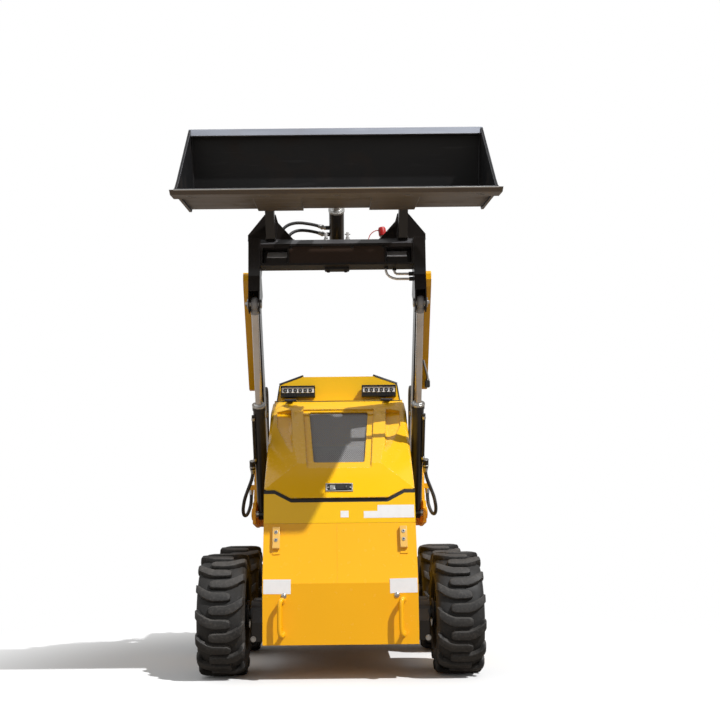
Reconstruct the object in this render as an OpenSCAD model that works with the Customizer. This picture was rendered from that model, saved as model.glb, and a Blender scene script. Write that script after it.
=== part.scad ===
// Stand-on mini loader: four wheels, raised radial lift arm and bucket.
// Millimetres. The front faces -Y, +Z is up. Inside the modules y = 0 is the front axle;
// place() then centres the machine over the origin.

/* [Wheels] */
// Distance between the two axles
wheelbase = 750; // [700:1:800]
// Tyre diameter over the lugs
tyre_d = 508; // [490:1:520]
// Inner face of a tyre, from the centre plane
tyre_in = 394; // [392:1:400]
// Tyre width
tyre_w = 200; // [190:1:210]
// Lugs on one side of a tyre
lug_count = 14; // [12:1:14]
// Height of a lug over the carcass
lug_h = 17; // [12:1:22]

/* [Body] */
// Half width of the chassis and the hood
body_x = 320; // [318:1:321]
// Thickness of the side frames
side_t = 14; // [10:1:16]
// Underside of the belly pan
belly_z = 150; // [140:1:170]
// Thickness of sheet metal covers
sheet_t = 5; // [4:1:7]
// How far the platform reaches behind the rear axle
platform_y = 530; // [480:5:560]

/* [Lift arm] */
// Boom centre, from the centre plane
boom_x = 355; // [354:1:356]
// Boom thickness across
boom_t = 50; // [44:2:52]
// Boom depth
boom_d = 112; // [100:2:120]
// Pivot pin radius of the booms
pivot_r = 20; // [18:1:22]
// Pin radius of the cylinders and of the bucket
pin_r = 15; // [12:1:16]

/* [Bucket] */
// Bucket width over the side plates
bucket_w = 1200; // [1100:10:1220]
// Plate thickness of the bucket
bucket_t = 8; // [6:1:10]
// Width of the cutting edge
edge_w = 1226; // [1210:2:1240]

/* [Cylinders] */
// Outer diameter of a lift cylinder
barrel_d = 54; // [50:1:54]
// Rod diameter of a lift cylinder
rod_d = 31; // [28:1:34]
// Outer diameter of the tilt cylinder
tilt_d = 66; // [60:1:68]

/* [Hidden] */
$fn = 48;
fit = 0.08;                      // radial play of a pin in its bore

// Pins of the lift linkage, as [y, z]
axle_z = tyre_d / 2;
arm_pin = [530, 900];            // boom on tower
base_pin = [380, 669];           // lift cylinder on tower
eye_pin = [-156, 1570];          // lift rod on boom
bucket_pin = [-270, 2030];       // bucket on arm
tilt_base = [130, 1800];         // tilt cylinder on arm
tilt_r = 115;                    // lever of the tilt rod over the bucket pin
tilt_eye = bucket_pin + tilt_r * [cos(86), sin(86)];
skin = 0.1;                      // joint between two plates that lie on each other

// Bucket profile, as [y, z]
heel = [-346, 1927];
rim_top = [-432, 2240];
side_nose = [-786, 1926];
lip = [-850, 1872];

front_y = lip[0] - 25;
rear_y = wheelbase + platform_y;
mid_y = (front_y + rear_y) / 2;

// Boom: its centre line runs from arm_pin to the elbow
elbow = [-128, 1769];
boom_run = norm(elbow - arm_pin);
boom_dir = (elbow - arm_pin) / boom_run;
boom_up = [-boom_dir[1], boom_dir[0]] * -1;     // normal, to the rear and up

barrel_len = 568;                // lift barrel from its base pin to its gland face
gland_d = 60;                    // collar at its gland
tilt_barrel_len = 300;

// Routes of the hoses on the right-hand side, as [x, y, z], chosen by hand. The left ones mirror them.
hose_d = 16;
lift_route = [
    [395, 240.3, 876.4], [395, 249, 861.8], [397, 258, 846], [403, 269, 824], [413, 279, 799],
    [424, 287, 772], [434, 294, 745], [441, 303, 717], [445, 318, 692], [445, 339, 673], [442, 363, 664],
    [437, 388, 664], [431, 411, 673], [425, 430, 691], [420, 443, 715], [418, 450, 742], [418, 452, 764],
    [418, 452, 781.8]];
pivot_route = [
    [348, 446, 1128], [348, 430, 1160], [348, 420, 1194], [348, 423, 1228], [348, 442, 1256],
    [348, 474, 1268], [348, 506, 1260], [348, 530, 1236], [348, 544, 1202], [348, 553, 1164],
    [348, 561, 1124], [348, 569, 1084], [348, 577, 1044], [348, 586, 1012], [348, 592, 986], [348, 592, 966.2]];
// Hoses from the tilt cylinder's ports to the block behind the beam
tilt_routes = [
    [[-60, -22, 1936], [-78, -22, 1942], [-104, -22, 1949], [-132, -23, 1954], [-160, -25, 1957],
     [-188, -28, 1955], [-214, -33, 1946], [-234, -40, 1929], [-246, -47, 1906], [-250, -52, 1879],
     [-250, -52, 1850.2]],
    [[-60, 4, 1912], [-78, 4, 1917], [-102, 3, 1923], [-128, 0, 1927], [-154, -5, 1928],
     [-178, -12, 1924], [-198, -20, 1913], [-213, -29, 1896], [-221, -38, 1874], [-222, -38, 1850.2]]];
// Steel pipes under the beam, from its underside into the right boom
pipe_d = 11;
pipe_routes = [
    [[212, -120, 1723.8], [212, -120, 1714], [217, -120, 1701], [227, -120, 1691], [241, -120, 1684],
     [258, -120, 1680], [290, -120, 1680], [311.8, -120, 1680]],
    [[250, -92, 1723.8], [250, -92, 1719], [253, -92, 1712.5], [260, -92, 1708], [270, -92, 1708],
     [290, -92, 1708], [311.8, -92, 1708]]];

function lift_dir() = (eye_pin - base_pin) / norm(eye_pin - base_pin);
function tilt_dir() = (tilt_eye - tilt_base) / norm(tilt_eye - tilt_base);
function angle(d) = atan2(d[1], d[0]);

module place() translate([0, -mid_y, 0]) children();
// A profile drawn in the y-z plane, extruded across from x0 to x1
module across(x0, x1) translate([x0, 0, 0]) rotate([90, 0, 90]) linear_extrude(x1 - x0) children();
// A profile drawn in the x-z plane, extruded rearwards from y0 to y1
module along(y0, y1) translate([0, y1, 0]) rotate([90, 0, 0]) linear_extrude(y1 - y0) children();
module both() { children(); mirror([1, 0, 0]) children(); }
module pin(at, x0, x1, r) translate([x0, at[0], at[1]]) rotate([0, 90, 0]) cylinder(r = r, h = x1 - x0);
// A bar of width w between two points of the y-z plane, with square ends
module bar(a, b, w) translate(a) rotate(angle(b - a)) translate([0, -w / 2]) square([norm(b - a), w]);
module disc(at, r) translate(at) circle(r = r);

// A round hose along a route: one closed skin of eight-sided rings, square to the route
module hose(route, d) {
    n = len(route);
    run = [for (i = [0 : n - 1]) let (v = route[min(i + 1, n - 1)] - route[max(i - 1, 0)]) v / norm(v)];
    rings = [for (i = [0 : n - 1]) let (
        side = abs(run[i][0]) < 0.8 ? [1, 0, 0] : [0, 1, 0],
        u = cross(run[i], side) / norm(cross(run[i], side)), v = cross(run[i], u))
        for (k = [0 : 7]) route[i] + d / 2 * (cos(45 * k) * u + sin(45 * k) * v)];
    polyhedron(points = rings, faces = concat(
        [[for (k = [0 : 7]) k]], [[for (k = [7 : -1 : 0]) 8 * (n - 1) + k]],
        [for (i = [0 : n - 2], k = [0 : 7]) let (a = 8 * i + k, b = 8 * i + (k + 1) % 8)
            each [[a, a + 8, b + 8], [a, b + 8, b]]]));
}

// Tie-down eyes in the rear of the side frames, as [y, z]
tie_down = [wheelbase + 105, 565];
tie_r = 13;

// ---- chassis -------------------------------------------------------------------------------
bend_low = [-212, 395];                  // folds of the front, as [y, z]
bend_high = [-122, 636];
plate_back = bend_low[0] + sheet_t + 1;  // rear face of the front plate
cowl_lean = 82.5;
// A point on the cowl's plane: s up the cowl, t behind its face
function cowl_point(s, t) = bend_high + s * [cos(cowl_lean), sin(cowl_lean)] + t * [sin(cowl_lean), -cos(cowl_lean)];
cowl_gap = 0.7;
module side_profile() difference() {
    polygon([[plate_back, belly_z], [wheelbase + 150, belly_z], [wheelbase + 150, 620], [700, 680],
             [660, 1090], [600, 1130], [466, 1130], [450, 1050], [450, 770], [-84, 770],
             cowl_point(121, 16), cowl_point(121, sheet_t), cowl_point(cowl_gap, sheet_t),
             bend_high + [sheet_t, 0], [plate_back, bend_low[1]]]);
    for (y = [0, wheelbase]) disc([y, axle_z], 62);
    disc(tie_down, tie_r);
}
module side_frames() color("goldenrod") place() both() difference() {
    across(body_x - side_t, body_x) side_profile();
    pin(arm_pin, body_x - side_t - 1, body_x + 1, pivot_r);
    pin(base_pin, body_x - side_t - 1, body_x + 1, pin_r);
}
inner_x = body_x - side_t;
module belly_frame() color("goldenrod") place() {
    translate([-inner_x, plate_back, belly_z]) cube([2 * inner_x, wheelbase + 150 - plate_back, 10]);
    translate([-inner_x, 400, belly_z + 10]) cube([2 * inner_x, 12, 440]);
    translate([-inner_x, wheelbase + 138, belly_z + 10]) cube([2 * inner_x, 12, 450]);
}
outer_x0 = boom_x + boom_t / 2 + 9;      // inner face of the outer tower plate
outer_x1 = outer_x0 + 14;
module tower_profile() polygon([[345, 625], [600, 600], [625, 640], [625, 930], [590, 975],
                                [500, 980], [470, 950], [420, 730], [350, 720], [338, 690]]);
module tower_plates() color("darkgoldenrod") place() both() {
    difference() {
        across(outer_x0, outer_x1) tower_profile();
        pin(arm_pin, outer_x0 - 1, outer_x1 + 1, pivot_r);
        pin(base_pin, outer_x0 - 1, outer_x1 + 1, pin_r);
    }
    across(body_x, outer_x0) polygon([[602, 604], [625, 640], [625, 930], [602, 960]]);
    // glands of the lift hose on the outer plate and of the boom's hose on the rear web
    translate([outer_x1, 440, 782]) cube([26, 24, 24]);
    translate([336, 580, 946]) cube([24, 26, 20]);
}
module pivot_pins() color("silver") place() both() {
    pin(arm_pin, inner_x, outer_x1 + 8, pivot_r);
    pin(base_pin, inner_x, outer_x1 + 8, pin_r);
}

// ---- front and covers ----------------------------------------------------------------------
module front_plate() color("orange") place() {
    across(-body_x, body_x) polygon([
        [bend_low[0], belly_z - 2], bend_low, bend_high, bend_high + [sheet_t, 0],
        [plate_back, bend_low[1]], [plate_back, belly_z - 2]]);
    // bolt blocks of the pivoting cowl
    both() translate([266, -150, 548]) rotate([-20.5, 0, 0]) cube([30, 16, 84], center = true);
}
// Two bent pull handles on the front plate
handle_x = 247;
module tie_handles() color("gold") place() both() {
    for (z = [218, 362]) translate([handle_x, -212, z]) rotate([90, 0, 0]) cylinder(d = 9, h = 34);
    translate([handle_x, -246, 209]) cylinder(d = 13, h = 162);
}
cowl_top = [778, 741];                   // height of the seal at the sides and at the middle
module cowl_outline(up, low) polygon([
    [-body_x, low], [body_x, low], [body_x, cowl_top[0] - 636 + up], [275, cowl_top[0] - 636 + up],
    [205, cowl_top[1] - 636 + up], [-205, cowl_top[1] - 636 + up], [-275, cowl_top[0] - 636 + up],
    [-body_x, cowl_top[0] - 636 + up]]);
module on_cowl() translate([0, bend_high[0], bend_high[1]]) rotate([cowl_lean, 0, 0])
    mirror([0, 0, 1]) children();
module lower_cowl() color("gold") place() on_cowl() linear_extrude(sheet_t) cowl_outline(-16, cowl_gap);
module hood_seal() color("black") place() on_cowl() linear_extrude(12) difference() {
    cowl_outline(-1, cowl_gap);
    cowl_outline(-16, -1);
}
module engine_block() color("dimgray") place()
    across(-164, 164) polygon([[-60, 160], [340, 160], [340, 980], [250, 960], [-60, 720]]);
hinge_at = [440, 1204];                  // hood hinge, as [y, z]
hinge_x = [202, 258];                    // ends of one hinge
module rear_shroud() color("orange") place() {
    across(-inner_x, inner_x) polygon([
        [452, 640], [wheelbase + 130, 640], [wheelbase + 130, 900], [760, 1130], [740, 1205], [452, 1205]]);
    // fixed knuckles of the hood hinges, with their pin
    both() {
        for (x = [hinge_x[0], hinge_x[1] - 13]) {
            pin(hinge_at, x, x + 13, 6);
            translate([x, hinge_at[0], 1199]) cube([13, 13, 6]);
        }
        pin(hinge_at, hinge_x[0] + 6, hinge_x[1] - 6, 3);
    }
}

// ---- operator's station --------------------------------------------------------------------
module console_form() intersection() {
    along(512, 740) polygon([[-300, 1205], [300, 1205], [284, 1288], [176, 1326], [-176, 1326], [-284, 1288]]);
    across(-310, 310) polygon([[512, 1205], [740, 1205], [740, 1255], [640, 1326], [512, 1326]]);
}
module console() color("orange") place() console_form();
module control_levers() color("black") place() difference() {
    for (x = [-160, -70, 70, 160]) translate([x, 690, 1262]) rotate([-24, 0, 0]) {
        cylinder(d = 12, h = 56);
        translate([0, 0, 56]) cylinder(d = 30, h = 32);
    }
    console_form();
}
module rail(a, b, d) let (v = b - a)
    translate(a) rotate([0, acos(v[2] / norm(v)), atan2(v[1], v[0])]) cylinder(d = d, h = norm(v));
// Hand rails: a bar over each shoulder of the console, on two posts
module grab_rails() color("black") place() both() difference() {
    union() {
        rail([292, 590, 1302], [172, 590, 1345], 14);
        for (x = [280, 190]) translate([x, 590, 1250]) cylinder(d = 11, h = 56 + (280 - x) * 0.35);
    }
    console_form();
}
lamp_x = [113, 277];
module work_lamps() color("darkslategray") place() both()
    across(lamp_x[0], lamp_x[1]) polygon([
        [464, 1226], [472, 1220], [512, 1228], [512, 1262], [500, 1276], [470, 1280], [461, 1272]]);
module thigh_pad() color("black") place()
    translate([-210, wheelbase + 130, 700]) cube([420, 45, 180]);
module platform() color("dimgray") place() {
    translate([-270, wheelbase + 150, 215]) cube([540, platform_y - 150, 22]);
    both() translate([258, wheelbase + 150, 237]) cube([12, platform_y - 170, 60]);
}
shaft_r = 24;
module wheel_motors() color("black") place() {
    for (s = [-1, 1], y = [0, wheelbase]) translate([0, y, axle_z]) rotate([0, 90 * s, 0]) {
        translate([0, 0, 170]) cylinder(r = 61, h = 150);
        translate([0, 0, 320]) cylinder(r = 54, h = 60);
        translate([0, 0, 380]) cylinder(r = shaft_r, h = 98);
    }
    // housing between the frame and the wheel, cut away where the lowered cylinder passes
    both() for (y = [0, wheelbase]) translate([0, y, 0]) across(body_x, 372)
        polygon([[-100, 150], [-100, 228], [-8, 312], [100, 312], [100, 150]]);
}

// Hoses of the lift cylinders, each from the union on its barrel round to an elbow on the tower
module lift_hoses() color([0.05, 0.05, 0.05]) place() both() hose(lift_route, hose_d);
// Hoses that leave the booms near the pivot and go down into the towers
module pivot_hoses() color([0.05, 0.05, 0.05]) place() both() hose(pivot_route, hose_d);

// ---- lift arm ------------------------------------------------------------------------------
beam_z = [1732, 1850];
beam_y = [-180, -70];
boom_in = boom_x - 13;                   // inner face of the long bar, thinner than its ends
// Hub, then the head: the upright that carries the cross beam, and the clevis of the lift rod
module boom_ends() {
    disc(arm_pin, 62);
    polygon([[-184, 1600], [-184, beam_z[1]], [-66, beam_z[1]], [-52, 1815], [-40, 1740]]);
    polygon([eye_pin + [-42, 8], eye_pin + [-30, -34], eye_pin + [4, -42], eye_pin + [150, 60],
             eye_pin + [90, 120], eye_pin + [-20, 180]]);
}
module booms() color([0.09, 0.09, 0.1]) place() both() difference() {
    union() {
        across(boom_x - boom_t / 2, boom_x + boom_t / 2) boom_ends();
        across(boom_in, boom_x + boom_t / 2) bar(arm_pin, elbow, boom_d);
    }
    pin(arm_pin, boom_x - 60, boom_x + 60, pivot_r + fit);
    // clevis slot for the rod's eye, open below
    translate([boom_x - 20, 0, 0]) rotate([90, 0, 90]) linear_extrude(40)
        bar(eye_pin - 60 * lift_dir(), eye_pin + 62 * lift_dir(), 130);
}
beam_x = boom_x - boom_t / 2;
module cross_beam() color([0.1, 0.1, 0.11]) place() {
    difference() {
        // the upper front edge is a slanted plate
        across(-beam_x, beam_x) polygon([
            [beam_y[0], beam_z[0]], [beam_y[1], beam_z[0]], [beam_y[1], beam_z[1]],
            [beam_y[0] + 30, beam_z[1]], [beam_y[0], beam_z[1] - 24]]);
        both() translate([212, beam_y[0] - 1, beam_z[0] + 10]) cube([108, 80, 68]);
        translate([-206, beam_y[0] - 1, beam_z[0] + 9]) cube([412, 9, 76]);
    }
    // stiffeners that close the lower half of the pockets
    both() across(214, 302) polygon([[beam_y[0] + 12, beam_z[0] + 9], [beam_y[0] + 80, beam_z[0] + 9],
        [beam_y[0] + 80, beam_z[0] + 72], [beam_y[0] + 68, beam_z[0] + 72], [beam_y[0] + 12, beam_z[0] + 36]]);
    // bolted stop under the middle, the unions of the pipes and the block of the tilt hoses
    translate([-52, -140, beam_z[0] - 12]) cube([104, 50, 12]);
    for (p = [[250, -92], [212, -120]]) translate([p[0], p[1], beam_z[0] - 8]) cylinder(d = 18, h = 10);
    for (p = [[-92, 1708], [-120, 1680]]) pin(p, 312, beam_x, 9);
    translate([-266, beam_y[1] - 1, beam_z[1] - 24]) cube([58, 43, 24]);
    // lugs that carry the tilt cylinder
    both() difference() {
        across(42, 56) polygon([[beam_y[1] - 1, beam_z[0] + 8], [tilt_base[0] - 10, tilt_base[1] - 32],
            [tilt_base[0] + 30, tilt_base[1] - 14], [tilt_base[0] + 30, tilt_base[1] + 16],
            [tilt_base[0] - 6, tilt_base[1] + 34], [beam_y[1] - 1, beam_z[1] - 4]]);
        pin(tilt_base, 40, 58, pin_r);
    }
    pin(tilt_base, -60, 60, pin_r);
}
bracket_x = [254, 316];
module bucket_brackets() color([0.1, 0.1, 0.11]) place() both() difference() {
    union() {
        across(bracket_x[0], bracket_x[1]) disc(bucket_pin, 32);
        across(266, 304) polygon([[-176, beam_z[1]], [-72, beam_z[1]], bucket_pin + [30, -10],
            bucket_pin + [0, 31], bucket_pin + [-31, -6]]);
        along(-140, -128) polygon([[183, beam_z[1]], [385, beam_z[1]], [316, 1930], [254, 1930]]);
    }
    pin(bucket_pin, 200, 400, pin_r + fit);
}
guard_x = boom_x + boom_t / 2;
module hose_guards() color("orange") place() both()
    across(guard_x, guard_x + 38) polygon([
        for (p = [[400, 50], [930, 50], [962, 56], [982, 72], [985, 92], [970, 108], [950, 112], [400, 112], [372, 84]])
            arm_pin + p[0] * boom_dir + p[1] * boom_up]);
module couplers() color("silver") place() {
    translate([190, -60, beam_z[1]]) cube([60, 50, 12]);
    for (x = [204, 236]) translate([x, -35, beam_z[1] + 12]) cylinder(d = 24, h = 50);
    // locking posts on the beam's top
    for (x = [-47, 47]) translate([x, -120, beam_z[1]]) {
        cylinder(d = 22, h = 8);
        cylinder(d = 12, h = 38);
    }
    for (route = pipe_routes) hose(route, pipe_d);
}
module arm_hoses() color([0.05, 0.05, 0.05]) place() for (route = tilt_routes) hose(route, hose_d - 2);

// ---- bucket --------------------------------------------------------------------------------
back_dir = (rim_top - heel) / norm(rim_top - heel);
floor_dir = (lip - heel) / norm(lip - heel);
function inward(p) = p + bucket_t * (back_dir + floor_dir) / 1.2;
module bucket_shell() color([0.16, 0.15, 0.15]) place() {
    // floor and back, bent from one sheet
    across(-bucket_w / 2, bucket_w / 2) polygon([
        rim_top, heel + 60 * back_dir, heel + 14 * back_dir + 10 * floor_dir,
        heel + 60 * floor_dir, lip, lip + bucket_t * back_dir,
        heel + 62 * floor_dir + bucket_t * back_dir, heel + 20 * back_dir + 18 * floor_dir,
        heel + 62 * back_dir + bucket_t * floor_dir, rim_top + bucket_t * floor_dir]);
    both() across(bucket_w / 2 - 10, bucket_w / 2) polygon([
        rim_top, heel + 60 * back_dir, heel + 14 * back_dir + 10 * floor_dir, heel + 60 * floor_dir,
        lip, side_nose, rim_top + 34 * floor_dir]);
    // two wear plates under the floor, and the side plates' lower edge below it
    both() {
        across(135, 320) polygon([for (p = [[40, 0], [400, 0], [392, 8], [52, 8]]) heel + p[0] * floor_dir - p[1] * back_dir]);
        across(bucket_w / 2 - 10, bucket_w / 2) polygon([
            for (p = [[60, 0], [400, 0], [386, 10], [80, 14]]) heel + p[0] * floor_dir - p[1] * back_dir]);
    }
    // folded rim along the top of the back
    across(-bucket_w / 2, bucket_w / 2) polygon([
        rim_top, rim_top + 34 * floor_dir, rim_top + 34 * floor_dir - 10 * back_dir, rim_top - 10 * back_dir]);
}
slot_x = [-537, -268.5, 0, 268.5, 537];  // bolt slots of the cutting edge, in pairs
module cutting_edge() color("silver") place() difference() {
    across(-edge_w / 2, edge_w / 2) polygon([
        lip + 25 * floor_dir - skin * back_dir, lip - 100 * floor_dir - skin * back_dir,
        lip - 16 * back_dir - 90 * floor_dir, lip - 16 * back_dir + 5 * floor_dir]);
    for (x = slot_x, row = [[26, -5], [48, 5]]) across(x + row[1] - 13, x + row[1] + 13) polygon([
        for (p = [[0, -7], [10, -7], [10, -20], [0, -20]]) lip - (row[0] + p[0]) * floor_dir + p[1] * back_dir]);
}
back_n = [back_dir[1], -back_dir[0]];            // out of the back, to the rear
module back_rect(s0, s1, n0, n1) polygon([
    heel + s0 * back_dir + n0 * back_n, heel + s1 * back_dir + n0 * back_n,
    heel + s1 * back_dir + n1 * back_n, heel + s0 * back_dir + n1 * back_n]);
module ear(x0, x1, to, s0, s1) across(x0, x1) union() {
    disc(to, 32);
    polygon([heel + s0 * back_dir + 14 * back_n, heel + s1 * back_dir + 14 * back_n,
             to + 31 * [cos(70), sin(70)], to + 31 * [cos(-70), sin(-70)]]);
}
module attach_plate() color([0.12, 0.12, 0.13]) place() {
    across(-350, 350) back_rect(30, 270, skin, 14);
    both() {
        ear(232, 248, bucket_pin, 40, 150);
        ear(322, 338, bucket_pin, 40, 150);
        ear(40, 54, tilt_eye, 150, 260);
        pin(bucket_pin, 230, 342, pin_r);
    }
}

// ---- cylinders -----------------------------------------------------------------------------
// Turns a cylinder built along +Z from the origin to lie from a pin along a direction
module aimed(at, dir) translate([0, at[0], at[1]]) rotate([angle(dir) - 90, 0, 0]) children();
module eye(r_out, r_in, t) rotate([0, 90, 0]) difference() {
    cylinder(r = r_out, h = t, center = true);
    cylinder(r = r_in, h = t + 2, center = true);
}
module lift_barrel() aimed(base_pin, lift_dir()) {
    eye(26, pin_r + fit, 44);
    difference() {
        union() {
            translate([0, 0, 25]) cylinder(d = barrel_d, h = barrel_len - 25);
            translate([0, 0, barrel_len - 24]) cylinder(d = gland_d, h = 24);
        }
        eye(26, 0, 60);
        translate([0, 0, 70]) cylinder(d = rod_d + 4, h = barrel_len);
    }
}
module lift_rod() aimed(base_pin, lift_dir()) {
    run = norm(eye_pin - base_pin);
    difference() {
        union() {
            translate([0, 0, 460]) cylinder(d = rod_d, h = run - 460);
            translate([0, 0, 450]) cylinder(d = rod_d + 3, h = 12);
            translate([0, 0, run]) rotate([0, 90, 0]) cylinder(r = 26, h = 30, center = true);
        }
        translate([0, 0, run]) rotate([0, 90, 0]) cylinder(r = pin_r + 1, h = 40, center = true);
    }
}
module lift_barrel_left() color([0.07, 0.07, 0.08]) place() translate([-boom_x, 0, 0]) lift_barrel();
module lift_barrel_right() color([0.07, 0.07, 0.08]) place() translate([boom_x, 0, 0]) lift_barrel();
module lift_rod_left() color("silver") place() translate([-boom_x, 0, 0]) lift_rod();
module lift_rod_right() color("silver") place() translate([boom_x, 0, 0]) lift_rod();
// Pipe from a port under the gland down to a round union on the barrel's outer side
module barrel_line() aimed(base_pin, lift_dir()) difference() {
    union() {
        translate([27, -22, 280]) cylinder(d = 12, h = 246);
        rail([27, -22, 520], [10, -12, 520], 12);
        translate([40, -14, 250]) cylinder(d = 26, h = 40);
    }
    cylinder(d = barrel_d + 0.4, h = barrel_len);
}
module barrel_line_left() color("gray") place() mirror([1, 0, 0]) translate([boom_x, 0, 0]) barrel_line();
module barrel_line_right() color("gray") place() translate([boom_x, 0, 0]) barrel_line();
module tilt_barrel() color([0.07, 0.07, 0.08]) place() aimed(tilt_base, tilt_dir()) difference() {
    union() {
        rotate([0, 90, 0]) cylinder(r = 28, h = 74, center = true);
        translate([0, 0, 20]) cylinder(d = tilt_d, h = tilt_barrel_len - 20);
        // ports on the left side
        for (z = [168, 203]) translate([-50, 0, z]) rotate([0, 90, 0]) cylinder(d = 18, h = 24);
    }
    rotate([0, 90, 0]) cylinder(r = pin_r + fit, h = 90, center = true);
    translate([0, 0, 60]) cylinder(d = rod_d + 4, h = tilt_barrel_len);
}
module tilt_rod() color("silver") place() aimed(tilt_base, tilt_dir()) {
    run = norm(tilt_eye - tilt_base);
    difference() {
        union() {
            translate([0, 0, 250]) cylinder(d = rod_d, h = run - 250);
            translate([0, 0, run]) rotate([0, 90, 0]) cylinder(r = 25, h = 50, center = true);
        }
        translate([0, 0, run]) rotate([0, 90, 0]) cylinder(r = pin_r + 1, h = 60, center = true);
    }
}

// ---- hood ----------------------------------------------------------------------------------
hood_low = [-101, 781];
hood_crest = [400, 1145];
hood_top = [420, 1198];
hood_back = 444;
hood_slope = angle(hood_crest - hood_low);
hood_run = norm(hood_crest - hood_low);
module on_slope() translate([0, hood_low[0], hood_low[1]]) rotate([hood_slope, 0, 0]) children();
// A point of the y-z plane at v up the hood's slope and w above it
function slope_point(v, w) = hood_low + v * [cos(hood_slope), sin(hood_slope)] + w * [-sin(hood_slope), cos(hood_slope)];
// Half of the hood's outer corners, as [x, y, z]: skirt, crest, back, then the raised centre
ridge_w = 34;                            // height of the raised centre over the side slopes
chin = [-118, 743];
function with_x(x, p) = [x, p[0], p[1]];
hood_points = [
    [body_x, -89.3, hood_low[1]], with_x(body_x, hood_crest), [312, 438, 1188], with_x(300, [hood_back - 8, hood_top[1]]),
    [312, hood_back, 1182], [body_x, hood_back, 1130], [body_x, hood_back, hood_low[1]], [217, 40, chin[1]],
    with_x(217, chin), with_x(180, slope_point(144, ridge_w)), with_x(240, slope_point(578, ridge_w))];
module hood_form(t) hull() for (p = hood_points, s = [-1, 1])
    translate([s * (p[0] - t - 0.5), p[1] + (p[1] > 250 ? -t - 0.5 : 1.4 * t + 0.5), p[2] - (p[2] > 760 ? t : 3 * t) - 0.5])
        cube(1, center = true);
// Channel between the raised centre and the shoulder: deepest at the crest, it runs out down the slope
module shoulder_channel(t) on_slope() hull() {
    translate([222 - t, 560, 12 - t]) cube([66 + 2 * t, 26 + t, 60]);
    translate([230 - t, 470, 10 - t]) cube([54 + 2 * t, 10, 60]);
    translate([204 - t / 2, 236 - t, ridge_w - 4]) cube([10 + t, 1, 40]);
}
// Sunk panel round the grille and the grille's own opening, as [x, v]
grille = [[-105, 160], [105, 160], [111, 168], [133, 512], [127, 520], [-127, 520], [-133, 512], [-111, 168]];
panel = [[-128, 98], [128, 98], [138, 108], [164, 562], [-164, 562], [-138, 108]];
panel_w = 26;                            // face of the panel over the slope
panel_t = 7;
module hood_shell() color("orange") place() {
    difference() {
        hood_form(0);
        difference() {
            union() {
                hood_form(6);
                across(-212, 212) polygon([[-60, 700], [430, 700], [430, 800], [-60, 800]]);
            }
            both() shoulder_channel(6);
            on_slope() translate([0, 0, panel_w - panel_t]) linear_extrude(60) offset_panel(6);
        }
        both() shoulder_channel(0);
        on_slope() translate([0, 0, panel_w]) linear_extrude(60) polygon(panel);
        on_slope() translate([0, 0, -20]) linear_extrude(120) polygon(grille);
        // the lower edge follows the seal
        on_cowl() translate([0, 0, -40]) linear_extrude(80) cowl_outline(1, -20);
        // the skirt is open below, at the sides as in the middle
        across(-body_x + 6, body_x - 6) polygon([[-60, 700], [430, 700], [430, 800], [-60, 800]]);
        // the back is open, so that it swings clear of the engine
        across(-206, 206) polygon([[425, 700], [460, 700], [460, 1000], [425, 1000]]);
    }
    // moving knuckles of the hinges
    both() difference() {
        union() {
            pin(hinge_at, hinge_x[0] + 13.5, hinge_x[1] - 13.5, 6);
            across(hinge_x[0] + 13.5, hinge_x[1] - 13.5) polygon([[414, 1186], [436, 1186], [444, 1200], [436, 1206]]);
        }
        pin(hinge_at, hinge_x[0], hinge_x[1], 3 + fit);
    }
}
module offset_panel(t) polygon([for (p = panel) [p[0] + sign(p[0]) * t, p[1] + (p[1] > 300 ? t : -t)]]);
module hood_grille() color("black") place() on_slope() translate([0, 0, panel_w - panel_t - 4]) linear_extrude(4)
    difference() {
        polygon([for (p = grille) [p[0] * 1.05, p[1] + (p[1] > 300 ? 6 : -6)]]);
        for (x = [-96 : 24 : 96], y = [184 : 24 : 500]) translate([x, y]) square([15, 15], center = true);
    }
module hood_latch() color("silver") place() on_chin() translate([-58, 30, skin]) cube([116, 43, 8]);
// The chin's plane, from its lower edge up
chin_top = slope_point(144, ridge_w);
module on_chin() translate([0, chin[0], chin[1]]) rotate([angle(chin_top - chin), 0, 0]) children();

// ---- wheels --------------------------------------------------------------------------------
// The tread is one closed skin of rings. Every lug pitch has four columns: foot, top, top, foot.
// Right-hand lugs are half a pitch behind left-hand ones, so one side's tops are the other's gap.
crown = tyre_d / 2;
carcass = crown - lug_h;
half = tyre_w / 2;
bead_r = 128;
// Rows from the bead to the lug's end, as [x / half, carcass radius, lug height, sweep, evenly spaced]
rows = [[0.72, bead_r, 0, 0, 1], [0.98, 180, 0, 0, 1], [1.00, 208, 8, -44, 0], [0.94, carcass - 8, lug_h, -38, 0],
        [0.52, carcass, lug_h, -12, 0], [0.06, carcass, lug_h, 0, 0]];
pitch = 360 / lug_count;
lug_deg = 30 / crown * 57.3;             // width of a lug's top
foot_deg = 6 / crown * 57.3;             // run of its flank
function lug_col(c) = c == 0 ? -lug_deg / 2 - foot_deg : c == 1 ? -lug_deg / 2 : c == 2 ? lug_deg / 2 :
    lug_deg / 2 + foot_deg;
function side_ring(row, side) = [for (k = [0 : lug_count - 1], c = [0 : 3]) let (
    m = side < 0 ? c : (c + 2) % 4,
    wrap = side > 0 && c < 2 ? -1 : 0,
    at = row[4] == 1 ? pitch * (k + (c - 1.5) / 4)
        : pitch * (k + (side > 0 ? 0.5 + wrap : 0)) + lug_col(m) + row[3] / crown * 57.3,
    r = row[1] + (m == 1 || m == 2 ? row[2] : 0))
    [side * row[0] * half, r * cos(at), r * sin(at)]];
seam = [for (k = [0 : lug_count - 1], c = [0 : 3])
    let (at = pitch * (k + (c - 1.5) / 4)) [(c == 1 || c == 2 ? 1 : -1) * 13, carcass * cos(at), carcass * sin(at)]];
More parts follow.
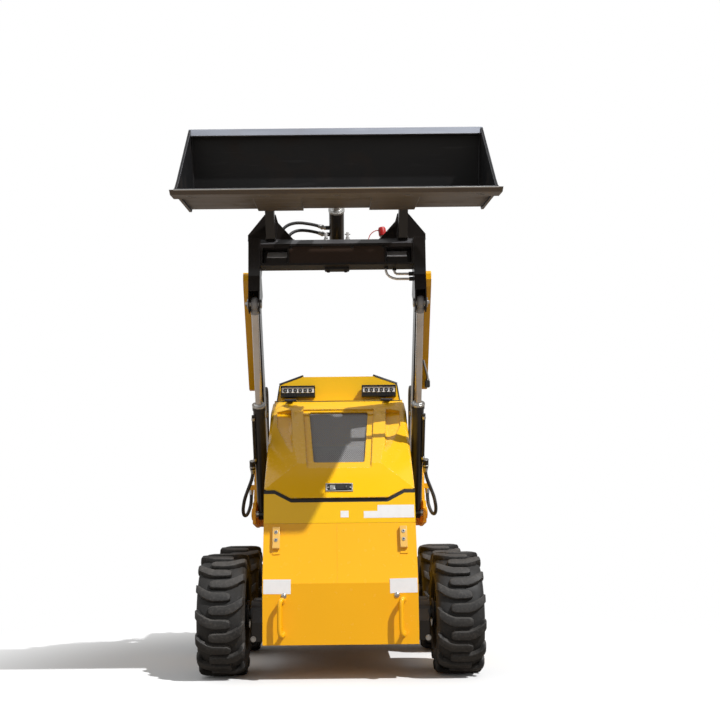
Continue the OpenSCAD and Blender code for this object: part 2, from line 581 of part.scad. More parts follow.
tyre_rings = concat([for (r = rows) side_ring(r, -1)], [seam],
                    [for (i = [len(rows) - 1 : -1 : 0]) side_ring(rows[i], 1)]);
module tyre() {
    n = 4 * lug_count;
    m = len(tyre_rings);
    polyhedron(points = [for (r = tyre_rings) each r],
        faces = [for (i = [0 : m - 1], j = [0 : n - 1]) let (
            a = i * n + j, b = i * n + (j + 1) % n,
            c = ((i + 1) % m) * n + (j + 1) % n, d = ((i + 1) % m) * n + j)
            each [[a, b, c], [a, c, d]]]);
}
rim_w = 81;                              // half width over the rim's flanges
rim_profile = [
    [shaft_r + fit, -106], [58, -106], [58, -98], [46, -98], [46, 8], [60, 8], [75, -20], [110, -20], [110, -rim_w],
    [136, -rim_w], [136, 4 - rim_w], [127, 4 - rim_w], [127, rim_w - 4], [136, rim_w - 4], [136, rim_w],
    [116, rim_w], [116, -10], [80, -10], [64, 18], [0, 18], [0, -10], [shaft_r + fit, -10]];
module rim() rotate([0, 90, 0]) difference() {
    rotate_extrude() polygon(rim_profile);
    for (a = [0 : 72 : 288]) rotate(a) translate([56, 0, -30]) cylinder(d = 12, h = 60);
}
wheel_x = tyre_in + half;
module at_wheel(side, y) place() translate([side * wheel_x, y, axle_z]) mirror([side < 0 ? 1 : 0, 0, 0])
    children();
module tyre_fl() color([0.12, 0.12, 0.12]) at_wheel(-1, 0) tyre();
module tyre_fr() color([0.12, 0.12, 0.12]) at_wheel(1, 0) tyre();
module tyre_rl() color([0.12, 0.12, 0.12]) at_wheel(-1, wheelbase) tyre();
module tyre_rr() color([0.12, 0.12, 0.12]) at_wheel(1, wheelbase) tyre();
module rim_fl() color("black") at_wheel(-1, 0) rim();
module rim_fr() color("black") at_wheel(1, 0) rim();
module rim_rl() color("black") at_wheel(-1, wheelbase) rim();
module rim_rr() color("black") at_wheel(1, wheelbase) rim();

side_frames();
belly_frame();
tower_plates();
pivot_pins();
front_plate();
tie_handles();
lower_cowl();
hood_seal();
engine_block();
rear_shroud();
console();
control_levers();
grab_rails();
work_lamps();
thigh_pad();
platform();
wheel_motors();
lift_hoses();
pivot_hoses();
booms();
cross_beam();
bucket_brackets();
hose_guards();
couplers();
arm_hoses();
attach_plate();
bucket_shell();
cutting_edge();
lift_barrel_left();
lift_barrel_right();
lift_rod_left();
lift_rod_right();
barrel_line_left();
barrel_line_right();
tilt_barrel();
tilt_rod();
hood_shell();
hood_grille();
hood_latch();
tyre_fl();
tyre_fr();
tyre_rl();
tyre_rr();
rim_fl();
rim_fr();
rim_rl();
rim_rr();
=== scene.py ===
"""Looks of a stand-on mini loader: hydraulic lift arm and bucket raised over a hood on four lugged tyres."""
import math

import bmesh
import bpy
from mathutils import Matrix, Vector


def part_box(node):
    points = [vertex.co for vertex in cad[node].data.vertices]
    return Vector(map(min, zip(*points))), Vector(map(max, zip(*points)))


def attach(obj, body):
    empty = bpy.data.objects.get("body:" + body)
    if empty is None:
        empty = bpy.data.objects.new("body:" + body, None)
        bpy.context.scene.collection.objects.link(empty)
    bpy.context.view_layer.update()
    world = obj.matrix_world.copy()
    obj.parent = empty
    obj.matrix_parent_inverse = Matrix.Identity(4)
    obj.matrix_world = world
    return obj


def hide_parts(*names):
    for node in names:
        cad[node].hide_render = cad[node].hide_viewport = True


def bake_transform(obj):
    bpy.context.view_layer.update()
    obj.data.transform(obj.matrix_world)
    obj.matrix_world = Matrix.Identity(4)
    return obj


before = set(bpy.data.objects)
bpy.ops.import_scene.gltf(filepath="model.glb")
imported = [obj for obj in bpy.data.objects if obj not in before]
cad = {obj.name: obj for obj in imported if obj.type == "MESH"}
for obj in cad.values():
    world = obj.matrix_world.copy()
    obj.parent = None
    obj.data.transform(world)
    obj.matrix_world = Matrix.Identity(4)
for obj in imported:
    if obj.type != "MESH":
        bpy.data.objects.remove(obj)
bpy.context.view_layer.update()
scene = bpy.context.scene

# ---- view ------------------------------------------------------------
# The machine is seen from straight ahead. The eye stands 4.7 m in front of the axle, at the height of
# the hood, and looks up at the bucket.
def in_scene(name, data):
    """A new object of the scene, which shows a mesh, a lamp or a camera."""
    obj = bpy.data.objects.new(name, data)
    scene.collection.objects.link(obj)
    return obj


front_axle = (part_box("tyre_fl")[0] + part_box("tyre_fl")[1]) / 2
camera_data = bpy.data.cameras.new("camera")
camera_data.sensor_width = 36
camera_data.lens = 54.25
camera_data.shift_x = 0.0286
camera = in_scene("camera", camera_data)
camera.location = (0, front_axle.y - 4.74, 0.75)
camera.rotation_euler = (math.radians(90 + 7.14), math.radians(0.594), 0)
scene.camera = camera
scene.view_settings.view_transform = "Standard"


# ---- chassis plates --------------------------------------------------
# Side frames, belly pan, towers and the twice folded front: laser-cut steel plate, welded together and
# sprayed with glossy yellow enamel. Dust settles on top, and the edges are rubbed through.
class Value:
    """A socket of a node tree. Arithmetic on it adds Math nodes to that tree."""

    def __init__(self, tree, socket):
        self.tree = tree
        self.socket = socket

    def math(self, operation, a, b):
        return self.tree.node("ShaderNodeMath", {"operation": operation}, {0: a, 1: b})

    def __add__(self, other):
        return self.math("ADD", self, other)

    __radd__ = __add__

    def __sub__(self, other):
        return self.math("SUBTRACT", self, other)

    def __rsub__(self, other):
        return self.math("SUBTRACT", other, self)

    def __mul__(self, other):
        return self.math("MULTIPLY", self, other)

    __rmul__ = __mul__

    def __truediv__(self, other):
        return self.math("DIVIDE", self, other)

    def __mod__(self, other):
        return self.math("FLOORED_MODULO", self, other)

    def most(self, other):
        """The larger of the two."""
        return self.math("MAXIMUM", self, other)

    def ramp(self, low, high):
        """0 at low, 1 at high, smooth between them and flat outside; low may be the larger."""
        ends = {0: self, 1: low, 2: high}
        return self.tree.node("ShaderNodeMapRange", {"interpolation_type": "SMOOTHSTEP"}, ends)


class Tree:
    """A node tree. node() adds a node from its type, its settings and the values or links of its inputs."""

    def __init__(self, tree):
        self.tree = tree

    def node(self, kind, settings=None, inputs=None, output=0):
        made = self.tree.nodes.new(kind)
        for name, value in (settings or {}).items():
            setattr(made, name, value)
        for name, value in (inputs or {}).items():
            if isinstance(value, Value):
                self.tree.links.new(value.socket, made.inputs[name])
            else:
                made.inputs[name].default_value = value
        return Value(self, made.outputs[output])

    def part(self, vector, axis):
        """One of the three numbers of a vector: "X", "Y" or "Z"."""
        return self.node("ShaderNodeSeparateXYZ", None, {0: vector}, axis)


class Shader(Tree):
    """A material and its Principled shader, whose even sockets are given by name."""

    def __init__(self, name, **even):
        self.material = bpy.data.materials.new(name)
        self.material.use_nodes = True
        super().__init__(self.material.node_tree)
        self.surface = self.tree.nodes["Principled BSDF"]
        for socket, value in even.items():
            self.surface.inputs[socket.replace("_", " ").title().replace("Ior", "IOR")].default_value = value
        self.place = self.node("ShaderNodeTexCoord", output="Object")

    def set(self, socket, value):
        self.tree.links.new(value.socket, self.surface.inputs[socket])

    def noise(self, scale, detail, stretch=(1, 1, 1)):
        placed = self.node("ShaderNodeMapping", None, {"Vector": self.place, "Scale": stretch})
        return self.node("ShaderNodeTexNoise", None, {"Vector": placed, "Scale": scale, "Detail": detail})

    def mix(self, factor, a, b):
        """Colour a where factor is 0 and b where it is 1."""
        return self.node("ShaderNodeMix", {"data_type": "RGBA"}, {0: factor, 6: a, 7: b}, 2)

    def facing(self, low, high):
        """The height of the surface's normal, -1 down to 1 up, as a ramp from low to high."""
        return self.part(self.node("ShaderNodeTexCoord", output="Normal"), "Z").ramp(low, high)

    def upward(self):
        """1 on faces that look up, 0 on those that don't."""
        return self.facing(0.25, 0.95)

    def rounded(self, radius):
        """The normal with edges rounded off by radius."""
        return self.node("ShaderNodeBevel", {"samples": 4}, {"Radius": radius})

    def edges(self, radius, full=0.85):
        """1 on sharp edges, 0 away from them."""
        flat = self.node("ShaderNodeNewGeometry", output="Normal")
        both = {0: self.rounded(radius), 1: flat}
        return self.node("ShaderNodeVectorMath", {"operation": "DOT_PRODUCT"}, both, 1).ramp(0.999, full)

    def bump(self, height, strength, distance, normal=None):
        inputs = {"Height": height, "Strength": strength, "Distance": distance}
        if normal is not None:
            inputs["Normal"] = normal
        return self.node("ShaderNodeBump", None, inputs)


def shaded(colour, share):
    """The colour made darker."""
    return [c * share for c in colour[:3]] + [1]


def enamel(name, colour, edge_colour, dust=0.10, gloss=0.22, edge=0.002, rounding=None,
           settling=(0.62, 0.42, 0.14, 1), ridge=0.85):
    """Sprayed enamel with a faint orange peel, under dust of the colour settling. Edges are lightened to
    edge_colour: rubbed-through wear on most paints, painted highlights on the hood's folds. edge says how
    wide, and with a ridge near 1 soft folds count as edges too."""
    s = Shader(name, coat_roughness=0.08, ior=1.5, specular_ior_level=0.35)
    broad = s.noise(2.3, 2)
    fine = s.noise(45, 4)
    under = s.facing(-0.6, -0.95)
    settled = s.upward() * 0.7 * (0.5 + broad.ramp(0.3, 0.75) * 0.5) * dust
    shade = s.mix(broad.ramp(0.25, 0.8), shaded(colour, 0.95), colour)
    dusted = s.mix(settled + fine.ramp(0.6, 0.85) * 0.02, shade, settling)
    edge_wear_and_highlight = s.edges(edge, ridge) * s.noise(120, 5).ramp(0.5, 0.62)
    s.set("Base Color", s.mix(edge_wear_and_highlight * 0.6, dusted, edge_colour))
    s.set("Roughness", gloss + settled * 0.9 + fine * 0.08 + edge_wear_and_highlight * 0.2 + under * 0.5)
    s.set("Coat Weight", 0.35 - settled * 0.3 - under * 0.3)
    s.set("Normal", s.bump(s.noise(240, 2), 0.03, 0.001, s.rounded(rounding or edge)))
    return s.material


def paint(material, *nodes):
    """Finishes whole CAD nodes."""
    for node in nodes:
        cad[node].data.materials.clear()
        cad[node].data.materials.append(material)


RUBBED_YELLOW = (0.55, 0.30, 0.05, 1)
paint_yellow = enamel("paint_yellow", (0.93, 0.45, 0.003, 1), RUBBED_YELLOW)
paint(paint_yellow, "side_frames", "belly_frame", "tower_plates", "front_plate")

# ---- screws and plugs of the front -----------------------------------
# Zinc-plated socket screws hold the cowl's worn pivot blocks, a round-headed one closes the front above
# each handle, and hexagon plugs close the axle housings. Sizes from here on are in millimetres: across,
# behind the front axle and over the ground.
METRES = Matrix.Scale(0.001, 4)
MILLIMETRES = Matrix.Translation((0, front_axle.y, 0)) @ METRES
# The plane of the front plate, its fold, the fold of the cowl, and the middle of an axle housing
FRONT_Y = -212
FRONT_FOLD = Vector((0, FRONT_Y, 395))
COWL_FOLD = Vector((0, -122, 636))
HOUSING_X = 366


def face_of(origin, normal):
    """The place of a flat face: x across the machine, y up the face, z out of it."""
    out = Vector(normal).normalized()
    across = Vector((1, 0, 0))
    return Matrix.Translation(origin) @ Matrix((across, out.cross(across), out)).transposed().to_4x4()


class Shape:
    """Closed solids gathered into one mesh, in millimetres, that becomes one object riding on a body."""

    def __init__(self):
        self.bm = bmesh.new()

    def box(self, low, high, place=Matrix()):
        low, high = Vector(low), Vector(high)
        size = Matrix.Diagonal((*(high - low), 1))
        bmesh.ops.create_cube(self.bm, size=1, matrix=place @ Matrix.Translation((low + high) / 2) @ size)

    def rod(self, a, b, radius, corners, place=Matrix(), end=None):
        """A rod or cone from a to b; six corners make a hexagon."""
        a, b = Vector(a), Vector(b)
        turn = Matrix.Translation((a + b) / 2) @ (b - a).to_track_quat("Z", "Y").to_matrix().to_4x4()
        bmesh.ops.create_cone(
            self.bm, cap_ends=True, segments=corners, radius1=radius,
            radius2=radius if end is None else end, depth=(b - a).length, matrix=place @ turn)

    def screw(self, at, radius, height, place=Matrix()):
        """A hexagon head on a washer, standing on a face."""
        x, y, z = at
        self.rod((x, y, z - 1), (x, y, z + height * 0.3), radius * 1.35, 20, place)
        self.rod((x, y, z), (x, y, z + height), radius, 6, place)

    def plate(self, outline, low, high, place=Matrix()):
        """A flat outline of (x, y) points, from height low to high over its own plane."""
        rings = [[self.bm.verts.new(place @ Vector((x, y, z))) for x, y in outline] for z in (low, high)]
        self.bm.faces.new(rings[0][::-1])
        self.bm.faces.new(rings[1])
        self.skin(rings)

    def skin(self, rings, closed=False):
        """Joins rings of equally many points by quads."""
        for a, b in zip(rings, rings[1:] + rings[:1] if closed else rings[1:]):
            for i in range(len(a)):
                j = (i + 1) % len(a)
                self.bm.faces.new((a[i], a[j], b[j], b[i]))

    def lathe(self, profile, place=Matrix(), steps=40):
        """A closed profile of (along, radius) points turned round its own x axis."""
        turns = [2 * math.pi * k / steps for k in range(steps)]
        self.skin([[self.bm.verts.new(place @ Vector((x, r * math.cos(a), r * math.sin(a))))
                    for x, r in profile] for a in turns], closed=True)

    def tube(self, path, radius, corners, uv=None):
        """A round tube along points, with its length and its turn as a UV map where one is named."""
        layer = self.bm.loops.layers.uv.new(uv) if uv else None
        first = (path[1] - path[0]).normalized()
        across = Vector((0, 1, 0)) if abs(first.x) > 0.8 else Vector((1, 0, 0))
        rings, runs, run = [], [], 0.0
        for i, point in enumerate(path):
            ahead = (path[min(i + 1, len(path) - 1)] - path[max(i - 1, 0)]).normalized()
            across = (across - ahead * across.dot(ahead)).normalized()
            up = ahead.cross(across)
            run += (point - path[max(i - 1, 0)]).length
            runs.append(run)
            turns = [2 * math.pi * k / corners for k in range(corners)]
            rings.append([self.bm.verts.new(point + (across * math.cos(a) + up * math.sin(a)) * radius)
                          for a in turns])
        self.bm.faces.new(rings[0][::-1])
        self.bm.faces.new(rings[-1])
        for n in range(len(rings) - 1):
            a, b = rings[n], rings[n + 1]
            for k in range(corners):
                j = (k + 1) % corners
                face = self.bm.faces.new((a[k], a[j], b[j], b[k]))
                if layer:
                    for loop, place in zip(face.loops, ((n, k), (n, k + 1), (n + 1, k + 1), (n + 1, k))):
                        loop[layer].uv = (runs[place[0]] / 1000, place[1] / corners)

    def mirror(self):
        """Adds the mirror image on the other side of the machine."""
        whole = self.bm.verts[:] + self.bm.edges[:] + self.bm.faces[:]
        for made in bmesh.ops.duplicate(self.bm, geom=whole)["geom"]:
            if isinstance(made, bmesh.types.BMVert):
                made.co.x = -made.co.x
        return self

    def mesh(self, name, scale=MILLIMETRES):
        bmesh.ops.recalc_face_normals(self.bm, faces=self.bm.faces)
        self.bm.transform(scale)
        mesh = bpy.data.meshes.new(name)
        self.bm.to_mesh(mesh)
        self.bm.free()
        return mesh

    def done(self, name, material, body, slot, bevel=0.0, smooth=35):
        return dressed(name, self.mesh(name), material, body, bevel, smooth)


def dressed(name, mesh, material, body, bevel=0.0, smooth=35):
    """A mesh as an object that is smooth up to an angle, with its edges rounded by bevel millimetres."""
    mesh.materials.clear()
    mesh.materials.append(material)
    mesh.shade_smooth()
    mesh.set_sharp_from_angle(angle=math.radians(smooth))
    obj = in_scene(name, mesh)
    if bevel:
        rounding = obj.modifiers.new("rounding", "BEVEL")
        rounding.width = bevel / 1000
        rounding.segments = 2
        rounding.limit_method = "ANGLE"
        rounding.angle_limit = math.radians(40)
    if body:
        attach(obj, body)
    return obj


def machined(name, colour, rough, dust=0.2):
    """Bare metal with a film of oily dust."""
    s = Shader(name, metallic=1.0)
    film = s.noise(14, 4).ramp(0.35, 0.8)
    s.set("Base Color", s.mix(film * dust, colour, (0.30, 0.25, 0.19, 1)))
    s.set("Roughness", rough + film * 0.18)
    s.set("Normal", s.bump(s.noise(320, 2, (1, 1, 0.2)), 0.03, 0.0005, s.rounded(0.0012)))
    return s.material


def moulded(name, colour, rough, grain=0.06, coat=0.0, metallic=0.0):
    """An even plastic, film or glass with a little grime on it."""
    s = Shader(name, metallic=metallic, coat_weight=coat)
    grime = s.noise(38, 4).ramp(0.4, 0.8)
    s.set("Base Color", s.mix(grime * 0.12, colour, shaded(colour, 0.5)))
    s.set("Roughness", rough + grime * 0.15)
    s.set("Normal", s.bump(s.noise(210, 3), grain, 0.0006, s.rounded(0.0008)))
    return s.material


zinc = machined("zinc", (0.50, 0.50, 0.49, 1), 0.3)
black_plastic = moulded("black_plastic", (0.012, 0.012, 0.013, 1), 0.4)
heads, hollows, blocks = Shape(), Shape(), Shape()
slanted = Vector((1, 0, 0)).cross(COWL_FOLD - FRONT_FOLD)
for side in (-1, 1):
    block = face_of((side * 266, -157.5, 550.8), slanted)
    blocks.box((-15.5, -21, -3), (15.5, 73, 16), block)
    for up in (49, 15):
        heads.rod((0, up, 15), (0, up, 19), 7.5, 24, block)
        hollows.rod((0, up, 19), (0, up, 19.3), 3.8, 6, block)
    upright = face_of((side * 232, FRONT_Y, 346), (0, -1, 0))
    heads.rod((0, 0, -1), (0, 0, 3), 11, 24, upright)
    heads.rod((0, 0, 3), (0, 0, 7), 9.5, 24, upright, 5)
    heads.screw((0, 0, 0), 9, 8, face_of((side * HOUSING_X, -100, 160), (0, -1, 0)))
    heads.screw((0, 6, 0), 10, 4, face_of((side * HOUSING_X, -30, 290), (0, -0.67, 0.74)))
worn_yellow = enamel("worn_yellow", (0.80, 0.47, 0.11, 1), (0.55, 0.40, 0.2, 1), dust=0.3)
blocks.done("bolt_blocks", worn_yellow, "machine", "yellow", bevel=2.5)
heads.done("front_screws", zinc, "machine", "zinc", bevel=0.5)
hollows.done("socket_hollows", black_plastic, "machine", "zinc")

# The two halves of the front are butt-welded a little left of the middle and ground flush.
weld = Shape()
weld.box((-13, 1, -1), (-11, 255, 0.5), face_of(FRONT_FOLD, slanted))
weld.done("front_weld", paint_yellow, "machine", "yellow")

# ---- pull handles ----------------------------------------------------
# A bent round bar of steel either side of the front, in the frame's yellow enamel. It is welded to two
# round feet on the front plate.
handles = Shape()


def smooth_path(route, steps=5):
    """Points on a curve through the route's own points."""
    route = [Vector(p) for p in route]
    knots = [2 * route[0] - route[1]] + route + [2 * route[-1] - route[-2]]
    path = []
    for i in range(1, len(knots) - 2):
        a, b, c, d = knots[i - 1:i + 3]
        for t in (k / steps for k in range(steps)):
            path.append((2 * b + (c - a) * t + (2 * a - 5 * b + 4 * c - d) * t ** 2
                         + (3 * b - a - 3 * c + d) * t ** 3) / 2)
    return path + [route[-1]]


for x in (-247, 247):
    handles.tube(smooth_path([(x + 9, -211, 190), (x + 8, -230, 186), (x + 4, -246, 190), (x, -251, 204),
                              (x - 1, -252, 232), (x - 1, -252, 288), (x, -251, 314), (x + 4, -246, 328),
                              (x + 8, -230, 331), (x + 9, -211, 326)]), 9.4, 18)
    for z in (190, 326):
        handles.rod((x + 9, FRONT_Y + 1, z), (x + 9, FRONT_Y - 6, z), 14, 24, end=12)
handles = handles.done("handles", paint_yellow, "machine", "yellow", smooth=50)
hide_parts("tie_handles")

# ---- blank labels ----------------------------------------------------
# Off-white vinyl stickers without any print. One is stuck a little askew at each side of the front, and
# two are on the cowl.
label_vinyl = moulded("label_vinyl", (0.86, 0.86, 0.87, 1), 0.35, 0.02, coat=0.3)
labels = Shape()
for x, turn in ((-260, -0.5), (260, 1.0)):
    spot = face_of((x, FRONT_Y, 383), (0, -1, 0)) @ Matrix.Rotation(math.radians(turn), 4, "Z")
    labels.box((-56.5, -29.5, -0.2), (56.5, 29.5, 0.4), spot)
cowl_face = face_of(COWL_FOLD, (0, -0.9914, 0.1305))
labels.box((4, 24, -0.2), (38, 52, 0.4), cowl_face)
labels.plate([(102, 21), (315, 21), (315, 75), (160, 75), (160, 50), (102, 50)], -0.2, 0.4, cowl_face)
labels.done("labels", label_vinyl, "machine", "yellow")

# ---- axle housings and engine ----------------------------------------
# Cast and welded housings of the wheel motors between frame and wheel, and the engine: all black. The
# finned cooler lies on the engine and shows through the grille.
paint_black = enamel("paint_black", (0.0105, 0.0080, 0.0070, 1), (0.14, 0.14, 0.14, 1), dust=0.5,
                     gloss=0.28, settling=(0.26, 0.26, 0.28, 1))
paint(paint_black, "wheel_motors", "engine_block")
cooler_metal = machined("cooler_metal", (0.09, 0.09, 0.095, 1), 0.5)
cooler, tanks = Shape(), Shape()
cooler_face = face_of((0, 95, 840), (0, -0.612, 0.791))
for v in range(-168, 169, 14):
    cooler.box((-138, v, -2), (138, v + 5, 12), cooler_face)
for x in (-1, 1):
    tanks.box((x * 137 - 11, -176, -2), (x * 137 + 11, 180, 18), cooler_face)
cooler.done("cooler_fins", cooler_metal, "machine", "zinc")
tanks.done("cooler_tanks", paint_black, "machine", "black_steel", bevel=1.5)

# ---- wheels ----------------------------------------------------------
# Black pressed steel rims on five studs, with zinc nuts, and farm-tread tyres: a moulded carcass with
# long bars from each shoulder that pass the middle in turn.
paint(paint_black, "rim_fl", "rim_fr", "rim_rl", "rim_rr")
LUGS = 14
TREAD_RADIUS = 254
# Half of the carcass, from the crown to the bead: x from the middle, radius
CARCASS = [(0, 237), (30, 236.5), (58, 234.5), (80, 228.5), (91, 219), (96.5, 206), (98.6, 190), (98.2, 182),
           (99.3, 180), (97.6, 177), (96.5, 166), (94, 156), (94.8, 153), (91, 149), (85, 141), (80, 138.5),
           (76, 136), (74, 127.6)]
# One bar, from the sidewall to its inner end: outer x and radius, inner x and radius, sweep, half width
BAR = [(-100.0, 204, -95, 206, 50, 12), (-100.4, 222, -90, 216, 47, 15), (-98.5, 240, -86, 222, 43, 17),
       (-92, 249, -80, 228, 36, 18), (-75, 252.5, -74, 232, 22, 18.5), (-52, 254, -52, 234, 8, 18.5),
       (-28, 254, -28, 235, 0, 18), (8, 254, 8, 236, 0, 17.5), (28, 253.8, 28, 236, 0, 16.5),
       (38, 253.4, 39, 236, -1, 13), (44, 252.4, 46, 235.5, -2, 7)]


def rubber(name, colour, dust, edge=0.002, edge_dust_and_glint=0.25):
    """Matt rubber, grey where dust clings, and on its edges by the share edge_dust_and_glint; on the tyres
    these grey tops and edges are partly painted highlight.
    """
    s = Shader(name)
    patch = s.noise(11, 5).ramp(0.35, 0.75)
    speck = s.noise(95, 4).ramp(0.45, 0.75)
    dust_and_highlight = (s.upward() * 0.4 + patch * 0.3 + speck * 0.3 + s.edges(0.004) * edge_dust_and_glint) * dust
    s.set("Base Color", s.mix(dust_and_highlight, colour, (0.24, 0.22, 0.2, 1)))
    s.set("Roughness", 0.62 + patch * 0.25)
    s.set("Normal", s.bump(speck + s.noise(30, 3), 0.2, 0.0012, s.rounded(edge)))
    return s.material


def bar_mesh():
    """One bar of the tread, left of the middle."""
    shape = Shape()
    rings = []
    for x, radius, foot_x, foot, sweep, wide in BAR:
        ring = []
        for across, out, along in ((foot_x, foot, -wide - 5), (x, radius, -wide),
                                   (x, radius, wide), (foot_x, foot, wide + 5)):
            angle = -(sweep + along) / TREAD_RADIUS
            spot = (across, -out * math.cos(angle), -out * math.sin(angle))
            ring.append(shape.bm.verts.new(Vector(spot)))
        rings.append(ring)
    shape.skin(rings)
    shape.bm.faces.new(rings[0])
    shape.bm.faces.new(rings[-1][::-1])
    bmesh.ops.recalc_face_normals(shape.bm, faces=shape.bm.faces)
    long_edges = [e for e in shape.bm.edges
                  if len(e.link_faces) == 2 and e.calc_face_angle() > math.radians(35)]
    bmesh.ops.bevel(shape.bm, geom=long_edges, offset=2.8, segments=2, profile=0.5, affect="EDGES")
    return shape.mesh("bar", Matrix())


def worked(obj):
    """The plain mesh that the modifiers of an object make. The object itself goes."""
    bpy.context.view_layer.update()
    mesh = bpy.data.meshes.new_from_object(obj.evaluated_get(bpy.context.evaluated_depsgraph_get()))
    bpy.data.objects.remove(obj)
    return mesh


def grown(name, source, material, inputs, build):
    """Runs the Geometry Nodes that build(tree, values) makes on a mesh, and returns the plain mesh."""
    group = bpy.data.node_groups.new(name, "GeometryNodeTree")
    group.interface.new_socket("Geometry", in_out="INPUT", socket_type="NodeSocketGeometry")
    group.interface.new_socket("Geometry", in_out="OUTPUT", socket_type="NodeSocketGeometry")
    kinds = {int: "NodeSocketInt", float: "NodeSocketFloat"}
    sockets = {key: group.interface.new_socket(key, in_out="INPUT", socket_type=kinds[type(value)])
               for key, value in inputs.items()}
    tree = Tree(group)
    entry = group.nodes.new("NodeGroupInput")
    values = {key: Value(tree, entry.outputs[key]) for key in ("Geometry", *inputs)}
    solid = tree.node("GeometryNodeRealizeInstances", None, {"Geometry": build(tree, values)})
    solid = tree.node("GeometryNodeSetMaterial", None, {"Geometry": solid, "Material": material})
    out = group.nodes.new("NodeGroupOutput")
    group.links.new(solid.socket, out.inputs[0])
    carrier = in_scene(name + "_source", source)
    modifier = carrier.modifiers.new(name, "NODES")
    modifier.node_group = group
    for key, value in inputs.items():
        modifier[sockets[key].identifier] = value
    mesh = worked(carrier)
    mesh.name = name
    return mesh


def copies(tree, source, count, spot=(0, 0, 0), turn=(0, 0, 0)):
    """Count copies of the source, each at its spot and with its turn."""
    dots = tree.node("GeometryNodePoints", None, {"Count": count, "Position": spot})
    placed = {"Points": dots, "Instance": source, "Rotation": turn}
    return tree.node("GeometryNodeInstanceOnPoints", None, placed)


def ring_of(tree, values):
    """Copies of the source round the x axis: Count of them, the first turned by Phase of a turn."""
    step = tree.node("GeometryNodeInputIndex") / values["Count"] + values["Phase"]
    turn = tree.node("ShaderNodeCombineXYZ", None, {"X": step * (2 * math.pi)})
    return copies(tree, values["Geometry"], values["Count"], turn=turn)


# The tyres' grey tops and pale bar edges are partly clinging dust and partly painted highlight.
tyre_rubber = rubber("tyre_rubber", (0.0085, 0.0080, 0.0078, 1), 0.34, edge_dust_and_glint=0.6)
# The carcass is darker than the bars: painted shade in the grooves between them.
carcass_painted_shade = rubber("carcass_painted_shade", (0.0055, 0.0052, 0.005, 1), 0.10)
tyre = Shape()
tyre.lathe(CARCASS + [(-x, r) for x, r in reversed(CARCASS[1:])], steps=112)
left_bar = bar_mesh()
right_bar = left_bar.copy()
right_bar.transform(Matrix.Diagonal((-1, 1, 1, 1)))
right_bar.flip_normals()
for i, bar in enumerate((left_bar, right_bar)):
    sizes = {"Count": LUGS, "Phase": i * 0.5 / LUGS + 0.011}
    tyre.bm.from_mesh(grown(f"bars_{i}", bar, tyre_rubber, sizes, ring_of))
tread = tyre.mesh("tread", METRES)

nut = Shape()
for low, high, radius, corners in ((17, 21, 12, 20), (18, 29, 9.5, 6), (28, 33, 5.5, 12)):
    nut.rod((low, 56, 0), (high, 56, 0), radius, corners)
nuts = grown("nuts", nut.mesh("nut", METRES), zinc, {"Count": 5, "Phase": 0.0}, ring_of)
cap = Shape()
cap.lathe([(17, 0.1), (17, 34), (24, 34), (29, 29), (30, 0.1)])
cap = cap.mesh("cap", METRES)
# The carcass between the bars, painted darker as shade in the grooves: half its width and its radius, in
# metres
CROWN = (0.092, 0.2405)
for mark, side in (("fl", -1), ("fr", 1), ("rl", -1), ("rr", 1)):
    low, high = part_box("tyre_" + mark)
    hub = Matrix.Translation((low + high) / 2)
    covering = tread.copy()
    covering.transform(hub)
    covered = dressed("tyre_" + mark, covering, tyre_rubber, "wheel_" + mark, smooth=40)
    covered.data.materials.append(carcass_painted_shade)
    for face in covered.data.polygons:
        spot = hub.inverted() @ face.center
        face.material_index = int(abs(spot.x) < CROWN[0] and spot.yz.length < CROWN[1])
    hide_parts("tyre_" + mark)
    for name, piece, material, slot in (("nuts_", nuts, zinc, "zinc"),
                                        ("cap_", cap, paint_black, "black_steel")):
        turned = piece.copy()
        turned.transform(hub @ Matrix.Rotation(0 if side > 0 else math.pi, 4, "Z"))
        dressed(name + mark, turned, material, "wheel_" + mark, bevel=0.8)

# ---- cowl and its seal -----------------------------------------------
# The fixed cowl over the front, of bent plate in the covers' yellow: the frame's yellow painted lighter as
# painted light. It is edged with a black rubber seal, on which the hood closes.
seal_rubber = rubber("seal_rubber", (0.012, 0.012, 0.012, 1), 0.15)
# The covers' enamel is the frame's yellow painted lighter, as painted light on cowl, covers and console.
lit_cover_enamel = enamel("lit_cover_enamel", (0.97, 0.57, 0.004, 1), RUBBED_YELLOW, gloss=0.18)
paint(lit_cover_enamel, "lower_cowl")
paint(seal_rubber, "hood_seal")

# ---- hood ------------------------------------------------------------
# A yellow pressed hood with a raised centre, its yellow painted lighter than the frame's as painted light,
# and pale painted highlights along its folds. It turns up on two black hinges at its back edge, and a
# black paddle latch with a lock, in a bright frame, holds it down at the chin.
# Lighter than the frame's yellow as painted light; the pale edge colour paints highlights on the folds.
hood_lit_enamel = enamel("hood_lit_enamel", (0.95, 0.51, 0.003, 1), (1.0, 0.86, 0.48, 1), gloss=0.18,
                     edge=0.004, rounding=0.009, ridge=0.985)
hood_face = face_of((0, -101, 781), (0, -0.588, 0.809))


def prism(name, outline, low, high, place):
    """A block on a face, to be added to a pressing or cut out of it."""
    shape = Shape()
    shape.plate(outline, low, high, place)
    return in_scene(name, shape.mesh(name))


shell = bmesh.new()
shell.from_mesh(cad["hood_shell"].data)
bmesh.ops.remove_doubles(shell, verts=shell.verts, dist=1e-5)
bmesh.ops.dissolve_limit(shell, angle_limit=math.radians(1), verts=shell.verts, edges=shell.edges)
shell_mesh = bpy.data.meshes.new("shell")
shell.to_mesh(shell_mesh)
shell.free()
pressing = in_scene("pressing", shell_mesh)
